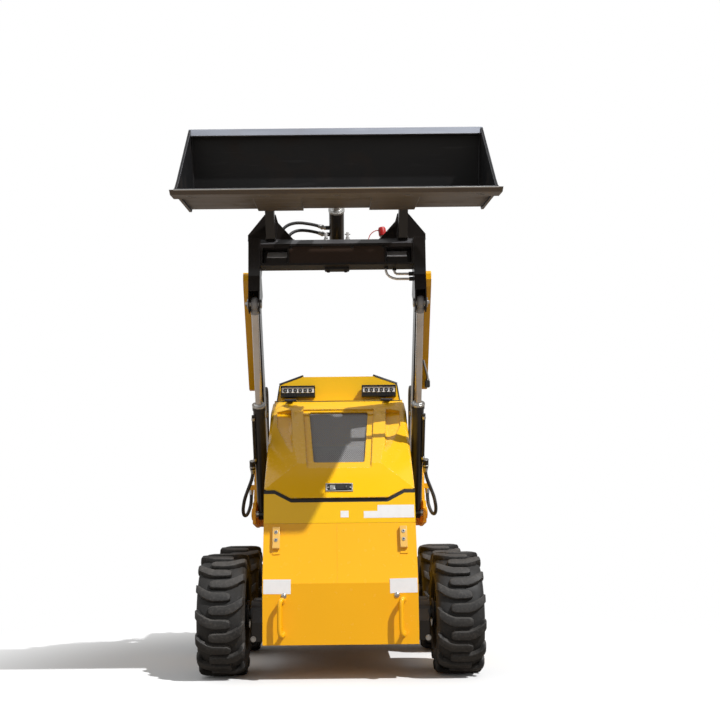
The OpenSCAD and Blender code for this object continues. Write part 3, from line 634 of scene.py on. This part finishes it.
# The sunk panel and its opening run up to the hood's crest: name, work, outline, bottom and top
tools = []
for name, operation, outline, low, high in (
        ("panel_back", "UNION", [(-174, 548), (174, 548), (178, 602), (-178, 602)], 19, 30.5),
        ("panel_recess", "DIFFERENCE", [(-163.3, 556), (163.3, 556), (167, 590), (-167, 590)], 26, 60),
        ("grille_opening", "DIFFERENCE", [(-132.4, 502), (132.4, 502), (137, 568), (130, 576), (-130, 576),
                                          (-137, 568)], -20, 60)):
    tools.append(prism(name, outline, low, high, hood_face))
    cut = pressing.modifiers.new(name, "BOOLEAN")
    cut.operation = operation
    cut.object = tools[-1]
    cut.solver = "EXACT"
hood = dressed("hood", worked(pressing), hood_lit_enamel, "hood", smooth=15)
for tool in tools:
    bpy.data.objects.remove(tool)
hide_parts("hood_shell")
chin_face = face_of((0, -118, 743), (0, -0.798, 0.603))
latch_frame = Shape()
for low, high in (((-58, 30, 0.2), (58, 35, 6)), ((-58, 68, 0.2), (58, 73, 6)),
                  ((-58, 35, 0.2), (-51, 68, 6)), ((51, 35, 0.2), (58, 68, 6))):
    latch_frame.box(low, high, chin_face)
for x in (-47, 47):
    latch_frame.rod((x, 51, 2), (x, 51, 6), 4, 12, chin_face)
latch_frame = latch_frame.done("latch_frame", zinc, "hood", "zinc", bevel=1.2)
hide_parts("hood_latch")
paddle, latch_lock = Shape(), Shape()
paddle.box((-51, 35, 0.2), (51, 68, 2), chin_face)
paddle.plate([(-14, 39), (36, 39), (43, 45), (43, 58), (36, 64), (-14, 64)], 2, 6, chin_face)
latch_lock.box((-40, 39, 1.5), (-17, 64, 4.5), chin_face)
latch_lock.rod((-28, 51.5, 4), (-28, 51.5, 6), 8, 24, chin_face)
latch_lock.done("latch_lock", zinc, "hood", "zinc", bevel=0.8)
paddle.rod((28, 45, 4), (28, 58, 5), 6, 12, chin_face)
paddle.done("latch_paddle", black_plastic, "hood", "zinc", bevel=1)

HINGE = (440, 1204)
KNUCKLE = 7.5
fixed_hinge, moving_hinge = Shape(), Shape()
for x in (202, 245):
    fixed_hinge.rod((x, *HINGE), (x + 13, *HINGE), KNUCKLE, 20)
fixed_hinge.box((202, 447, 1205.2), (258, 476, 1208.2))
for x in (212, 248):
    fixed_hinge.screw((x, 466, 1208.2), 4.5, 3.5)
moving_hinge.rod((215.5, *HINGE), (244.5, *HINGE), KNUCKLE, 20)
moving_hinge.box((215.5, 404, 1197), (244.5, 438, 1203))
fixed_hinge.mirror().done("hinge_leaves", paint_black, "machine", "black_steel", bevel=0.6)
moving_hinge.mirror().done("hinge_straps", paint_black, "hood", "black_steel", bevel=0.6)
back_seal = Shape()
back_seal.box((-299, 446.5, 1172), (299, 451.5, 1203))
back_seal.done("hood_back_seal", seal_rubber, "machine", "rubber_black", bevel=1)

# ---- grille ----------------------------------------------------------
# A grey enamelled sheet behind the hood's opening, perforated with small holes in offset rows, through
# which the cooler draws its air.
PITCH = 8.6
HOLE_RADIUS = 3.0
ROW_PITCHES = 0.866


def tile_mesh():
    """One tile of the sheet: a rectangle with a six-cornered hole."""
    shape = Shape()
    wide, tall = PITCH / 2, PITCH * ROW_PITCHES / 2
    rim = [(wide, 0), (wide, tall), (-wide, tall), (-wide, 0), (-wide, -tall), (wide, -tall)]
    turns = [math.radians(a) for a in range(0, 360, 60)]
    hole = [(HOLE_RADIUS * math.cos(a), HOLE_RADIUS * math.sin(a)) for a in turns]
    layers = [[[shape.bm.verts.new((x, y, z)) for x, y in outline] for outline in (rim, hole)]
              for z in (0, 1.5)]
    for rim_ring, hole_ring in layers:
        shape.skin([rim_ring, hole_ring])
    shape.skin([layers[0][1], layers[1][1]])
    return shape.mesh("tile", Matrix())


def cell_of(tree, values):
    """The column and the row of each copy, counted along the rows."""
    index = tree.node("GeometryNodeInputIndex")
    column = index % values["Columns"]
    return column, (index - column) / values["Columns"]


def sheet_of(tree, values):
    """Rows of the source, every other one moved by half a pitch."""
    column, row = cell_of(tree, values)
    x = (column + (row % 2.0) * 0.5) * values["Pitch"]
    spot = tree.node("ShaderNodeCombineXYZ", None, {"X": x, "Y": row * (values["Pitch"] * ROW_PITCHES)})
    return copies(tree, values["Geometry"], values["Columns"] * values["Rows"], spot)


perforated = enamel("perforated", (0.27, 0.275, 0.29, 1), (0.3, 0.3, 0.3, 1), gloss=0.3, edge=0.0004)
columns, rows = 34, 58
sheet = grown("sheet", tile_mesh(), perforated, {"Columns": columns, "Rows": rows, "Pitch": PITCH}, sheet_of)
sheet.transform(MILLIMETRES @ hood_face @ Matrix.Translation((-PITCH * (columns - 0.5) / 2, 152, 15)))
grille = dressed("grille", sheet, perforated, "hood")
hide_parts("hood_grille")

# ---- rear cover and console ------------------------------------------
# The yellow cover behind the hood and the operator's console on it. The console's edge has a black
# trim, a thin black rail runs over each shoulder, and its top carries a blank gauge pod, a key switch
# and four levers in rubber boots.
paint(lit_cover_enamel, "rear_shroud", "console")
trim = Shape()
for x in (-1, 1):
    edge = [Vector((x * p, 513, z)) for p, z in ((297, 1210), (285, 1284), (276, 1292), (178, 1326.5))]
    trim.tube(edge, 3, 8)
trim.done("console_trim", black_plastic, "machine", "black_steel", smooth=60)


def axis_of(origin, along):
    """The place of a turned piece, whose axis is its own x."""
    return Matrix.Translation(origin) @ Vector(along).to_track_quat("X", "Z").to_matrix().to_4x4()


# Profiles of a lever's boot and knob: along the stick, radius
BOOT = [(26, 0.1), (26, 22), (30, 22), (33, 16), (37, 18), (41, 13), (45, 14.5), (50, 7), (50, 0.1)]
KNOB = [(57, 0.1), (57, 7), (62, 11), (70, 14.6), (78, 15), (84, 12), (87.6, 6), (88, 0.1)]
levers, knobs = Shape(), Shape()
for x in (-160, -70, 70, 160):
    stick = axis_of((x, 690, 1262), (0, 0.4067, 0.9135))
    levers.rod((20, 0, 0), (62, 0, 0), 5, 16, stick)
    knobs.lathe(BOOT, stick, 24)
    knobs.lathe(KNOB, stick, 24)
levers = levers.done("levers", zinc, "machine", "zinc")
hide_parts("control_levers")
knobs.done("knobs", black_plastic, "machine", "rubber_black", smooth=50)
top_face = face_of((0, 690, 1290.5), (0, 0.579, 0.815))
dials, glass = Shape(), Shape()
dials.box((-38, -34, -2), (38, 34, 8), top_face)
dials.rod((112, 0, -2), (112, 0, 6), 13, 24, top_face)
dials.box((109, -8, 6), (115, 8, 16), top_face)
for x in (-118, -104):
    dials.rod((x, 12, -1), (x, 12, 6), 5, 16, top_face)
glass.rod((0, 4, 7), (0, 4, 9), 24, 32, top_face)
dials.done("gauge_pod", black_plastic, "machine", "black_steel", bevel=2)
dial_face = moulded("dial_face", (0.45, 0.46, 0.47, 1), 0.12, 0.0, coat=1.0)
glass.done("gauge_face", dial_face, "machine", "black_steel", bevel=0.6)
rails = Shape()
for x in (-1, 1):
    rails.rod((x * 291, 590, 1298), (x * 172, 590, 1340.5), 5, 16)
    for at, top in ((280, 1301), (190, 1333)):
        rails.rod((x * at, 590, top - 22), (x * at, 590, top), 4.5, 16)
rails = rails.done("console_rails", paint_black, "machine", "black_steel", bevel=1)
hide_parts("grab_rails")

# ---- louvres and screws of the back ----------------------------------
# Pressed louvres on the slope over the thigh rest let the engine breathe. Hexagon screws hold the cover
# and the back plate, and five on each side the tower's outer plate.
rear_slope = face_of((0, 820, 1015), (0, 0.8866, 0.4626))
louvres, slots, rear_screws = Shape(), Shape(), Shape()
for v in range(-75, 76, 25):
    louvres.plate([(-125, v - 6), (125, v - 6), (130, v + 4), (-130, v + 4)], 0, 6, rear_slope)
    slots.box((-124, v + 4.5, 0), (124, v + 9, 0.8), rear_slope)
upright_cover, back_plate = face_of((0, 880, 0), (0, 1, 0)), face_of((0, 900, 0), (0, 1, 0))
for x in (-265, 265):
    for z in (675, 775, 875):
        rear_screws.screw((x, -z, 0), 6, 5, upright_cover)
    for z in (345, 465, 585):
        rear_screws.screw((x, -z, 0), 7, 6, back_plate)
    for v in (-90, 90):
        rear_screws.screw((x, v, 0), 6, 5, rear_slope)
for x in (-1, 1):
    for y, z in ((600, 660), (500, 745), (600, 745), (500, 830), (600, 830)):
        rear_screws.rod((x * 402, y, z), (x * 409, y, z), 8, 6)
louvres.done("louvres", lit_cover_enamel, "machine", "yellow", bevel=1.5)
slots.done("louvre_slots", black_plastic, "machine", "black_steel")
rear_screws.done("rear_screws", zinc, "machine", "zinc", bevel=0.5)

# ---- work lamps ------------------------------------------------------
# Two black cast lamp bars on the console's front. Each has a clear strip with six round diodes in black
# rings, a brow over it, and cooling fins under it.
paint(black_plastic, "work_lamps")
lens, rings, diodes, fins = Shape(), Shape(), Shape(), Shape()
lens.box((118, 459, 1244), (272, 465, 1271))
for x in range(135, 260, 24):
    rings.rod((x, 459.5, 1255), (x, 457.6, 1255), 9.5, 24)
    diodes.rod((x, 458, 1255), (x, 457.0, 1255), 4.5, 16)
    for left in (x - 9, x + 3):
        fins.box((left, 460, 1226), (left + 3, 470, 1240))
fins.box((113, 452, 1272), (277, 470, 1278))
lens_clear = moulded("lens_clear", (0.86, 0.87, 0.89, 1), 0.15, 0.0, coat=1.0)
diode_glass = moulded("diode_glass", (0.16, 0.16, 0.17, 1), 0.08, 0.0, coat=1.0)
lens.mirror().done("lamp_lens", lens_clear, "machine", "lamp", bevel=1.5)
rings.mirror().done("lamp_rings", black_plastic, "machine", "lamp", bevel=0.4)
diodes.mirror().done("lamp_diodes", diode_glass, "machine", "lamp", bevel=0.6)
fins.mirror().done("lamp_fins", black_plastic, "machine", "lamp", bevel=0.6)

# ---- operator's place ------------------------------------------------
# A thigh rest of black vinyl over foam on the back, and a black steel platform to stand on, with short
# bars raised from it against slipping.
vinyl = rubber("vinyl", (0.016, 0.016, 0.017, 1), 0.25, edge=0.004)
pad = Shape()
bmesh.ops.create_grid(pad.bm, x_segments=22, y_segments=10, size=1)
for v in pad.bm.verts:
    fullness = (1 - abs(v.co.x) ** 6) * (1 - abs(v.co.y) ** 4)
    v.co = Vector((v.co.x * 208, 884 + 39 * fullness ** 0.5, 790 + v.co.y * 88))
border = [e for e in pad.bm.edges if e.is_boundary]
drawn_back = bmesh.ops.extrude_edge_only(pad.bm, edges=border)["geom"]
rim = [v for v in drawn_back if isinstance(v, bmesh.types.BMVert)]
bmesh.ops.translate(pad.bm, vec=(0, -4, 0), verts=rim)
bmesh.ops.contextual_create(pad.bm, geom=[e for e in pad.bm.edges if e.is_boundary])
pad = pad.done("thigh_rest", vinyl, "machine", "rubber_black", smooth=60)
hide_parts("thigh_pad")


def rows_of_bars(tree, values):
    """Short bars at a slant, every other one turned the other way."""
    column, row = cell_of(tree, values)
    pitch = values["Pitch"]
    spot = tree.node("ShaderNodeCombineXYZ", None, {"X": column * pitch, "Y": row * pitch})
    turn = tree.node("ShaderNodeCombineXYZ", None, {"Z": ((column + row) % 2.0 - 0.5) * (math.pi / 2)})
    return copies(tree, values["Geometry"], values["Columns"] * values["Rows"], spot, turn)


paint(paint_black, "platform")
bar = Shape()
bar.plate([(-10, 0), (-5, -2.4), (5, -2.4), (10, 0), (5, 2.4), (-5, 2.4)], -0.5, 1.6)
tread_bars = grown("tread_bars", bar.mesh("bar", Matrix()), paint_black,
                   {"Columns": 29, "Rows": 21, "Pitch": 17.0}, rows_of_bars)
tread_bars.transform(MILLIMETRES @ Matrix.Translation((-238, 919, 237)))
dressed("platform_tread", tread_bars, paint_black, "machine")

# ---- tower pins ------------------------------------------------------
# The pins of booms and lift cylinders, bright steel, each kept from turning by a flat keeper that is
# screwed to the outer tower plate.
paint(zinc, "pivot_pins")
keepers, keeper_screws = Shape(), Shape()
for y, z, r in ((530, 900, 20), (380, 669, 15)):
    keepers.lathe([(403, r + 1), (403, r + 12), (409, r + 12), (409, r + 1)],
                  Matrix.Translation((0, y, z)), 32)
    keepers.box((403.2, y + r - 4, z - 10), (408, y + r + 34, z + 10))
    keeper_screws.rod((408, y + r + 24, z), (414, y + r + 24, z), 7, 6)
keepers.mirror().done("pin_keepers", paint_yellow, "machine", "yellow", bevel=0.8)
keeper_screws.mirror().done("keeper_screws", zinc, "machine", "zinc", bevel=0.5)

# ---- lift arm --------------------------------------------------------
# Two booms of thick black plate and the box beam that joins them. A black cover plate, painted brown as a
# reflection of the yellow hood, is screwed to the beam's front and a stop under it. Thin grey plates on the
# slanted faces in the corners beside it are a painted sky reflection on the black steel, and welded
# gussets carry the bucket's pins.
paint(paint_black, "booms", "cross_beam", "bucket_brackets")
arm_screws = Shape()
for x in (-38, 38):
    arm_screws.screw((0, 0, 0), 8, 7, face_of((x, -115, 1720), (0, 0, -1)))
for x in (-198, -66, 66, 198):
    arm_screws.screw((0, 0, 0), 5.5, 4, face_of((x, -172, 1812), (0, -1, 0)))
arm_screws.done("arm_screws", paint_black, "lift_arm", "black_steel", bevel=0.6)
gussets = Shape()
gussets.plate([(385, 1850), (385, 1875), (312, 1966), (264, 1966), (254, 1930), (262, 1850)], 0.5, 14.5,
              face_of((0, -127, 0), (0, -1, 0)))
gussets.mirror().done("bracket_gussets", paint_black, "lift_arm", "black_steel", bevel=1)
# Thin grey plates on the beam's slanted black faces: a painted reflection of the sky.
pocket_painted_sheen = moulded("pocket_painted_sheen", (0.60, 0.60, 0.62, 1), 0.5)
sheen_plates, cover = Shape(), Shape()
sheen_plates.box((-43, -33, -1), (43, 33, 1.2), face_of((258, -140, 1786), (0, -0.541, 0.841)))
cover.box((-205, -173, 1742), (205, -171, 1816))
# The black cover plate is coloured brown as a painted reflection of the yellow hood.
painted_brown_reflection = enamel("painted_brown_reflection", (0.030, 0.0145, 0.0070, 1), (0.14, 0.1, 0.08, 1), dust=0.2, gloss=0.4)
cover.done("beam_cover", painted_brown_reflection, "lift_arm", "black_steel", bevel=0.5)
sheen_plates.mirror().done("pocket_sheen_plates", pocket_painted_sheen, "lift_arm", "black_steel", bevel=0.5)
# Weld beads along the gussets' feet and the beam's ends
beads = Shape()
beads.rod((183, -142, 1851), (385, -142, 1851), 4, 8)
for x in (266, 304):
    beads.rod((x, -174, 1850), (x, -74, 1850), 4, 8)
    beads.rod((x, -142, 1850), (x, -142, 1930), 3.5, 8)
beads.rod((330, -181, 1736), (330, -181, 1846), 3.5, 8)
beads.mirror().done("weld_beads", paint_black, "lift_arm", "black_steel", smooth=60)

# ---- bucket pins and locking posts -----------------------------------
# The bucket's bright pins, with round heads and hexagon ends, and two bright posts with cross pins on
# the beam, which lock the arm for transport.
steel_pipe = moulded("steel_pipe", (0.78, 0.77, 0.76, 1), 0.25, metallic=0.35)
paint(steel_pipe, "couplers")
posts = Shape()
for x in (-47, 47):
    posts.rod((x, -120, 1858), (x, -120, 1866), 9.5, 6)
    posts.rod((x - 12, -120, 1880), (x + 12, -120, 1880), 2.5, 10)
for x in (-1, 1):
    posts.rod((x * 342, -270, 2030), (x * 348, -270, 2030), 22, 28)
    posts.rod((x * 348, -270, 2030), (x * 353, -270, 2030), 9, 6)
posts.done("arm_pins", zinc, "lift_arm", "zinc", bevel=0.8)

# ---- hose guards -----------------------------------------------------
# Folded yellow guards of sheet steel, welded outside the booms. A bright pipe comes out of the right one
# and runs down into a black clamp.
paint(paint_yellow, "hose_guards")
guard_pipe = Shape()
guard_pipe.tube(smooth_path([(394, 226, 1368), (397, 228, 1352), (404, 236, 1326), (411, 246, 1302),
                             (414, 254, 1282)]), 5.5, 14)
guard_pipe.rod((414, 253, 1284), (414, 256, 1274), 9, 6)
guard_pipe.done("guard_pipe", zinc, "lift_arm", "zinc", smooth=60)
guard_clamp = Shape()
guard_clamp.box((402, 246, 1246), (424, 290, 1276))
guard_clamp.done("guard_clamp", black_plastic, "lift_arm", "black_steel", bevel=2.5)

# ---- couplers --------------------------------------------------------
# Two quick couplers for attachments on the beam's top, with zinc-plated collars. One has a red plastic
# dust cap, tied to the beam by a strap.
red_plastic = moulded("red_plastic", (0.50, 0.012, 0.012, 1), 0.38)
collars, red_cap, cap_strap = Shape(), Shape(), Shape()
for x in (204, 236):
    collars.rod((x, -35, 1862), (x, -35, 1872), 14, 6)
    collars.rod((x, -35, 1884), (x, -35, 1896), 13.4, 28)
collars.done("coupler_collars", zinc, "lift_arm", "zinc", bevel=0.8)
red_cap.lathe([(0, 0.1), (0, 17), (30, 17), (38, 13), (40, 0.1)],
              axis_of((204, -35, 1893), (-0.12, 0, 1)), 28)
red_cap.done("coupler_cap", red_plastic, "lift_arm", "zinc", bevel=0.5)
cap_strap.tube(smooth_path([(190, -36, 1912), (180, -38, 1916), (164, -42, 1910), (148, -48, 1894),
                            (140, -54, 1872), (138, -58, 1852)], 4), 2.0, 8)
cap_strap.done("cap_strap", red_plastic, "lift_arm", "zinc", smooth=60)

# ---- bucket ----------------------------------------------------------
# A welded bucket of bare plate, dark with mill scale and scuffed along its edges, its downward faces painted
# lighter and warmer as light bounced from the ground. A bar stiffens its rim, coloured bluish grey as a
# painted reflection of the sky, its slotted cutting edge is worn bright along the lip, and a black plate on
# its back carries the ears of its pins.
def plate_steel(name, colour, worn, scuff):
    """Bare plate with mill scale, painted lighter and warmer on downward faces as light bounced from the
    ground, with a little rust and worn streaks and edges.
    """
    s = Shader(name, metallic=0.3)
    streak = s.noise(7, 5, (0.35, 3, 3))
    scratch = s.noise(60, 3, (0.08, 1, 1))
    rust = s.noise(9, 6).ramp(0.5, 0.75)
    base = s.mix(streak.ramp(0.3, 0.7), shaded(colour, 0.85), colour)
    # Downward faces turn a lighter warm brown: painted bounce light from the ground.
    bounce_lit = s.mix(s.facing(-0.3, -0.9) * 0.8, base, (0.11, 0.088, 0.070, 1))
    rusty_and_bounce_lit = s.mix(rust * 0.12, bounce_lit, (0.13, 0.085, 0.06, 1))
    bright = s.edges(0.004) * 0.7 + scratch.ramp(0.6, 0.75) * scuff * 0.3
    s.set("Base Color", s.mix(bright, rusty_and_bounce_lit, worn))
    s.set("Roughness", 0.40 + streak * 0.25 + rust * 0.15 - bright * 0.15)
    s.set("Normal", s.bump(scratch + streak, 0.12, 0.001, s.rounded(0.003)))
    return s.material


bucket_plate = plate_steel("bucket_plate", (0.0095, 0.0098, 0.011, 1), (0.22, 0.22, 0.24, 1), scuff=0.15)
edge_steel = plate_steel("edge_steel", (0.055, 0.050, 0.048, 1), (0.40, 0.39, 0.38, 1), scuff=0.7)
# The rim bar's bluish grey is a painted reflection of the sky on its dark plate.
rim_sky_reflection = plate_steel("rim_sky_reflection", (0.27, 0.29, 0.34, 1), (0.55, 0.55, 0.58, 1), scuff=0.4)
paint(bucket_plate, "bucket_shell")
paint(edge_steel, "cutting_edge")
paint(paint_black, "attach_plate")
HEEL, LIP, RIM = Vector((0, -346, 1927)), Vector((0, -850, 1872)), Vector((0, -432, 2240))
HALF_WIDTH = 600
forward = (LIP - HEEL).normalized()
upward = (RIM - HEEL).normalized()
inner_welds = Shape()
corner = (LIP + upward * 9 - forward * 40, HEEL + forward * 64 + upward * 9,
          HEEL + forward * 10 + upward * 66, RIM + forward * 10 - upward * 4)
for x in (10 - HALF_WIDTH, HALF_WIDTH - 10):
    run = [Vector((x, 0, 0)) + p for p in corner]
    for a, b in zip(run, run[1:]):
        inner_welds.rod(a, b, 4.5, 8)
inner_welds.done("bucket_welds", bucket_plate, "bucket", "worn_steel", smooth=60)
rim_bar = Shape()
from_the_side = Matrix(((0, 1, 0, 0), (0, 0, 1, 0), (1, 0, 0, 0), (0, 0, 0, 1))).transposed()
rim_bar.plate([(-465, 2240), (-479, 2207), (-468, 2205), (-440, 2232)], -HALF_WIDTH, HALF_WIDTH,
              from_the_side)
rim_bar.done("rim_bar", rim_sky_reflection, "bucket", "worn_steel", bevel=1.5)
worn_lip = Shape()
worn_lip.rod((-596, -873, 1868.5), (596, -873, 1868.5), 2.6, 8)
worn_lip.done("worn_lip", zinc, "bucket", "worn_steel", smooth=60)

# ---- lift cylinders --------------------------------------------------
# Black enamelled barrels with a bright ring at the gland, hard chromed rods with a grey cast eye, and
# bright pins through the booms' clevises. A black pipe runs down each barrel to a round union.
LIFT_BASE, LIFT_EYE = Vector((355, 380, 669)), Vector((355, -156, 1570))
reach = (LIFT_EYE - LIFT_BASE).length
chrome = machined("chrome", (0.62, 0.58, 0.54, 1), 0.14, dust=0.3)
scuffed = moulded("scuffed_grey", (0.30, 0.30, 0.31, 1), 0.5)
paint(paint_black, "lift_barrel_left", "lift_barrel_right", "barrel_line_left", "barrel_line_right")
# Bright rings, unions and nuts on a barrel: x, y, from z, to z, radius, corners, radius at the end
FITTINGS = [(0, 0, 560, 569, 31, 40, 31), (0, 0, 569, 575, 24, 32, 20), (40, -14, 258, 266, 14.2, 28, 14.2),
            (40, -14, 270, 290.5, 11, 6, 11), (27, -22, 296, 308, 8.5, 6, 8.5),
            (27, -22, 500, 514, 8.5, 6, 8.5)]
for mark, flip, node in (("r", 1, "right"), ("l", -1, "left")):
    side = Matrix.Diagonal((flip, 1, 1, 1))
    place = side @ face_of(LIFT_BASE, LIFT_EYE - LIFT_BASE)
    gland, rod, eye, pin = Shape(), Shape(), Shape(), Shape()
    for x, y, low, high, radius, corners, end in FITTINGS:
        gland.rod((x, y, low), (x, y, high), radius, corners, place, end)
    gland.done("gland_ring_" + mark, zinc, "lift_barrel_" + mark, "zinc", bevel=0.8)
    rod.rod((0, 0, 455), (0, 0, reach - 34), 15.5, 40, place)
    rod = rod.done("chromed_rod_" + mark, chrome, "lift_rod_" + mark, "rod_chrome")
    eye.lathe([(-15, 15.5), (-15, 24), (-9, 28), (0, 29), (9, 28), (15, 24), (15, 15.5)],
              place @ Matrix.Translation((0, 0, reach)), 40)
    eye.rod((0, 0, reach - 46), (0, 0, reach - 22), 17.5, 32, place, 20)
    eye = eye.done("cast_eye_" + mark, scuffed, "lift_rod_" + mark, "rod_chrome", bevel=1)
    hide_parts("lift_rod_" + node)
    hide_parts("lift_rod_" + node)
    for low, high, radius, corners in ((323, 386, 14, 28), (381, 386, 21, 28), (324, 328.8, 20, 28),
                                       (386, 394, 9, 6)):
        pin.rod((low, *LIFT_EYE.yz), (high, *LIFT_EYE.yz), radius, corners, side)
    pin.done("eye_pin_" + mark, zinc, "lift_arm", "zinc", bevel=0.8)

# ---- tilt cylinder ---------------------------------------------------
# The single cylinder behind the beam that turns the bucket, made as the lift cylinders are. Two bright
# unions on its side take the hoses.
TILT_BASE, TILT_EYE = Vector((0, 130, 1800)), Vector((0, -261.98, 2144.7))
tilt_place = face_of(TILT_BASE, TILT_EYE - TILT_BASE)
paint(paint_black, "tilt_barrel")
paint(chrome, "tilt_rod")
tilt_gland = Shape()
tilt_gland.rod((0, 0, 292), (0, 0, 301), 36, 40, tilt_place)
tilt_gland.rod((0, 0, 301), (0, 0, 306), 27, 32, tilt_place, 22)
for z in (168, 203):
    tilt_gland.rod((-48, 0, z), (-57, 0, z), 10, 6, tilt_place)
    tilt_gland.rod((-56, 0, z), (-60.5, 0, z), 7, 16, tilt_place)
tilt_gland.done("tilt_gland_ring", zinc, "tilt_cylinder", "zinc", bevel=0.8)

# ---- hydraulic hoses -------------------------------------------------
# Rubber hoses in a wound guard, crimped into zinc sleeves: from each lift cylinder round to the tower,
# in a loop over each boom's pivot, and from the tilt cylinder to the block behind the beam.
# Routes in millimetres, each from its end on the body that moves more
lift_route = [
    (395, 240.3, 876.4), (395, 249, 861.8), (397, 258, 846), (403, 269, 824), (413, 279, 799),
    (424, 287, 772), (434, 294, 745), (441, 303, 717), (445, 318, 692), (445, 339, 673), (442, 363, 664),
    (437, 388, 664), (431, 411, 673), (425, 430, 691), (420, 443, 715), (418, 450, 742), (418, 452, 764),
    (418, 452, 781.8)]
pivot_route = [
    (348, 446, 1128), (348, 430, 1160), (348, 420, 1194), (348, 423, 1228), (348, 442, 1256),
    (348, 474, 1268), (348, 506, 1260), (348, 530, 1236), (348, 544, 1202), (348, 553, 1164),
    (348, 561, 1124), (348, 569, 1084), (348, 577, 1044), (348, 586, 1012), (348, 592, 986),
    (348, 592, 966.2)]
tilt_routes = [
    [(-60, -22, 1936), (-78, -22, 1942), (-104, -22, 1949), (-132, -23, 1954), (-160, -25, 1957),
     (-188, -28, 1955), (-214, -33, 1946), (-234, -40, 1929), (-246, -47, 1906), (-250, -52, 1879),
     (-250, -52, 1850.2)],
    [(-60, 4, 1912), (-78, 4, 1917), (-102, 3, 1923), (-128, 0, 1927), (-154, -5, 1928),
     (-178, -12, 1924), (-198, -20, 1913), (-213, -29, 1896), (-221, -38, 1874), (-222, -38, 1850.2)]]


def hose_cover(name, pitch, depth):
    """Black rubber with a guard wound round it, read from the hose's own length and turn."""
    s = Shader(name)
    along = s.node("ShaderNodeUVMap", {"uv_map": "hose"})
    turn = (s.part(along, "X") / pitch + s.part(along, "Y")) % 1.0
    groove = turn.ramp(0.0, 0.16) * turn.ramp(1.0, 0.84)
    dusty = s.noise(30, 4).ramp(0.35, 0.75) * 0.35
    dark = s.mix(groove, (0.005, 0.005, 0.005, 1), (0.026, 0.026, 0.028, 1))
    s.set("Base Color", s.mix(dusty, dark, (0.10, 0.092, 0.082, 1)))
    s.set("Roughness", 0.45 + dusty * 0.5)
    s.set("Normal", s.bump(groove, depth, 0.002))
    return s.material


def hose(name, route, diameter, node, near, far):
    """A hose from body near to body far, with the sleeves that it is crimped into at both ends."""
    path = smooth_path(route)
    shape = Shape()
    shape.tube(path, diameter / 2, 14, uv="hose")
    obj = shape.done(name, guard_hose, None, None, smooth=60)
    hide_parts(node)
    points = [MILLIMETRES @ p for p in path]
    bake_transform(obj)
    length = sum((b - a).length for a, b in zip(points, points[1:]))
    for end, body in ((path, near), (path[::-1], far)):
        run = (end[2] - end[0]).normalized()
        sleeve = Shape()
        sleeve.rod(end[0] - run * 0.4, end[0] + run * 22, diameter / 2 + 2, 20)
        sleeve.rod(end[0] - run * 0.5, end[0] + run * 9, diameter / 2 + 4.5, 6)
        sleeve.done(name + "_sleeve_" + body, zinc, body, "zinc", bevel=0.6)


guard_hose = hose_cover("guard_hose", 0.012, 0.9)
for mark, side in (("r", 1), ("l", -1)):
    for kind, route, near in (("lift", lift_route, "lift_barrel_" + mark),
                              ("pivot", pivot_route, "lift_arm")):
        mirrored = [(side * x, y, z) for x, y, z in route]
        hose(f"{kind}_hose_{mark}", mirrored, 16, kind + "_hoses", near, "machine")
for mark, route in zip(("front", "rear"), tilt_routes):
    hose("tilt_hose_" + mark, route, 14, "arm_hoses", "tilt_cylinder", "lift_arm")

# ---- daylight and floor ----------------------------------------------
# Sun from high on the front right under a pale sky, and a floor that keeps the machine's shadow and
# fades out into the white around it.
def daylight():
    world = bpy.data.worlds.new("sky")
    scene.world = world
    world.use_nodes = True
    tree = Tree(world.node_tree)
    paths = world.node_tree.nodes.new("ShaderNodeLightPath")
    camera_ray, glossy, clear = (Value(tree, paths.outputs[name]) for name in
                                 ("Is Camera Ray", "Is Glossy Ray", "Is Transmission Ray"))
    # The sky is brighter on the left, where the glossy plates mirror it.
    way = tree.node("ShaderNodeTexCoord")
    left = tree.part(way, "X").ramp(0.1, -0.9)
    sky = 0.27 + tree.part(way, "Z").ramp(-0.1, 0.9) * 0.26 + left * 0.28
    seen = camera_ray.most(clear).most(glossy * (0.52 + left * 0.45))
    background = world.node_tree.nodes["Background"]
    background.inputs["Color"].default_value = (1, 1, 1, 1)
    world.node_tree.links.new(seen.most(sky).socket, background.inputs["Strength"])
    data = bpy.data.lights.new("sun", "SUN")
    data.energy = 3.7
    data.angle = math.radians(0.9)
    sun = in_scene("sun", data)
    sun.rotation_euler = Vector((0.463, -0.445, 0.766)).to_track_quat("Z", "Y").to_euler()


def floor():
    s = Shader("floor_white", roughness=1.0, specular_ior_level=0.0)
    paths = s.tree.nodes.new("ShaderNodeLightPath")
    camera_ray = Value(s, paths.outputs["Is Camera Ray"])
    s.set("Base Color", s.mix(camera_ray, (0.32, 0.28, 0.24, 1), (0.80, 0.80, 0.80, 1)))
    white = s.node("ShaderNodeEmission", None, {"Color": (1, 1, 1, 1), "Strength": 1.0})
    distance = s.node("ShaderNodeVectorMath", {"operation": "LENGTH"}, {0: s.place}, 1)
    away = distance.ramp(1.0, 2.4) * camera_ray
    blend = s.node("ShaderNodeMixShader", None, {0: away, 1: Value(s, s.surface.outputs[0]), 2: white})
    s.tree.links.new(blend.socket, s.tree.nodes["Material Output"].inputs["Surface"])
    mesh = bpy.data.meshes.new("floor")
    far = 40
    mesh.from_pydata([(-far, -far, 0), (far, -far, 0), (far, far, 0), (-far, far, 0)], [], [(0, 1, 2, 3)])
    mesh.materials.append(s.material)
    in_scene("floor", mesh)


daylight()
floor()
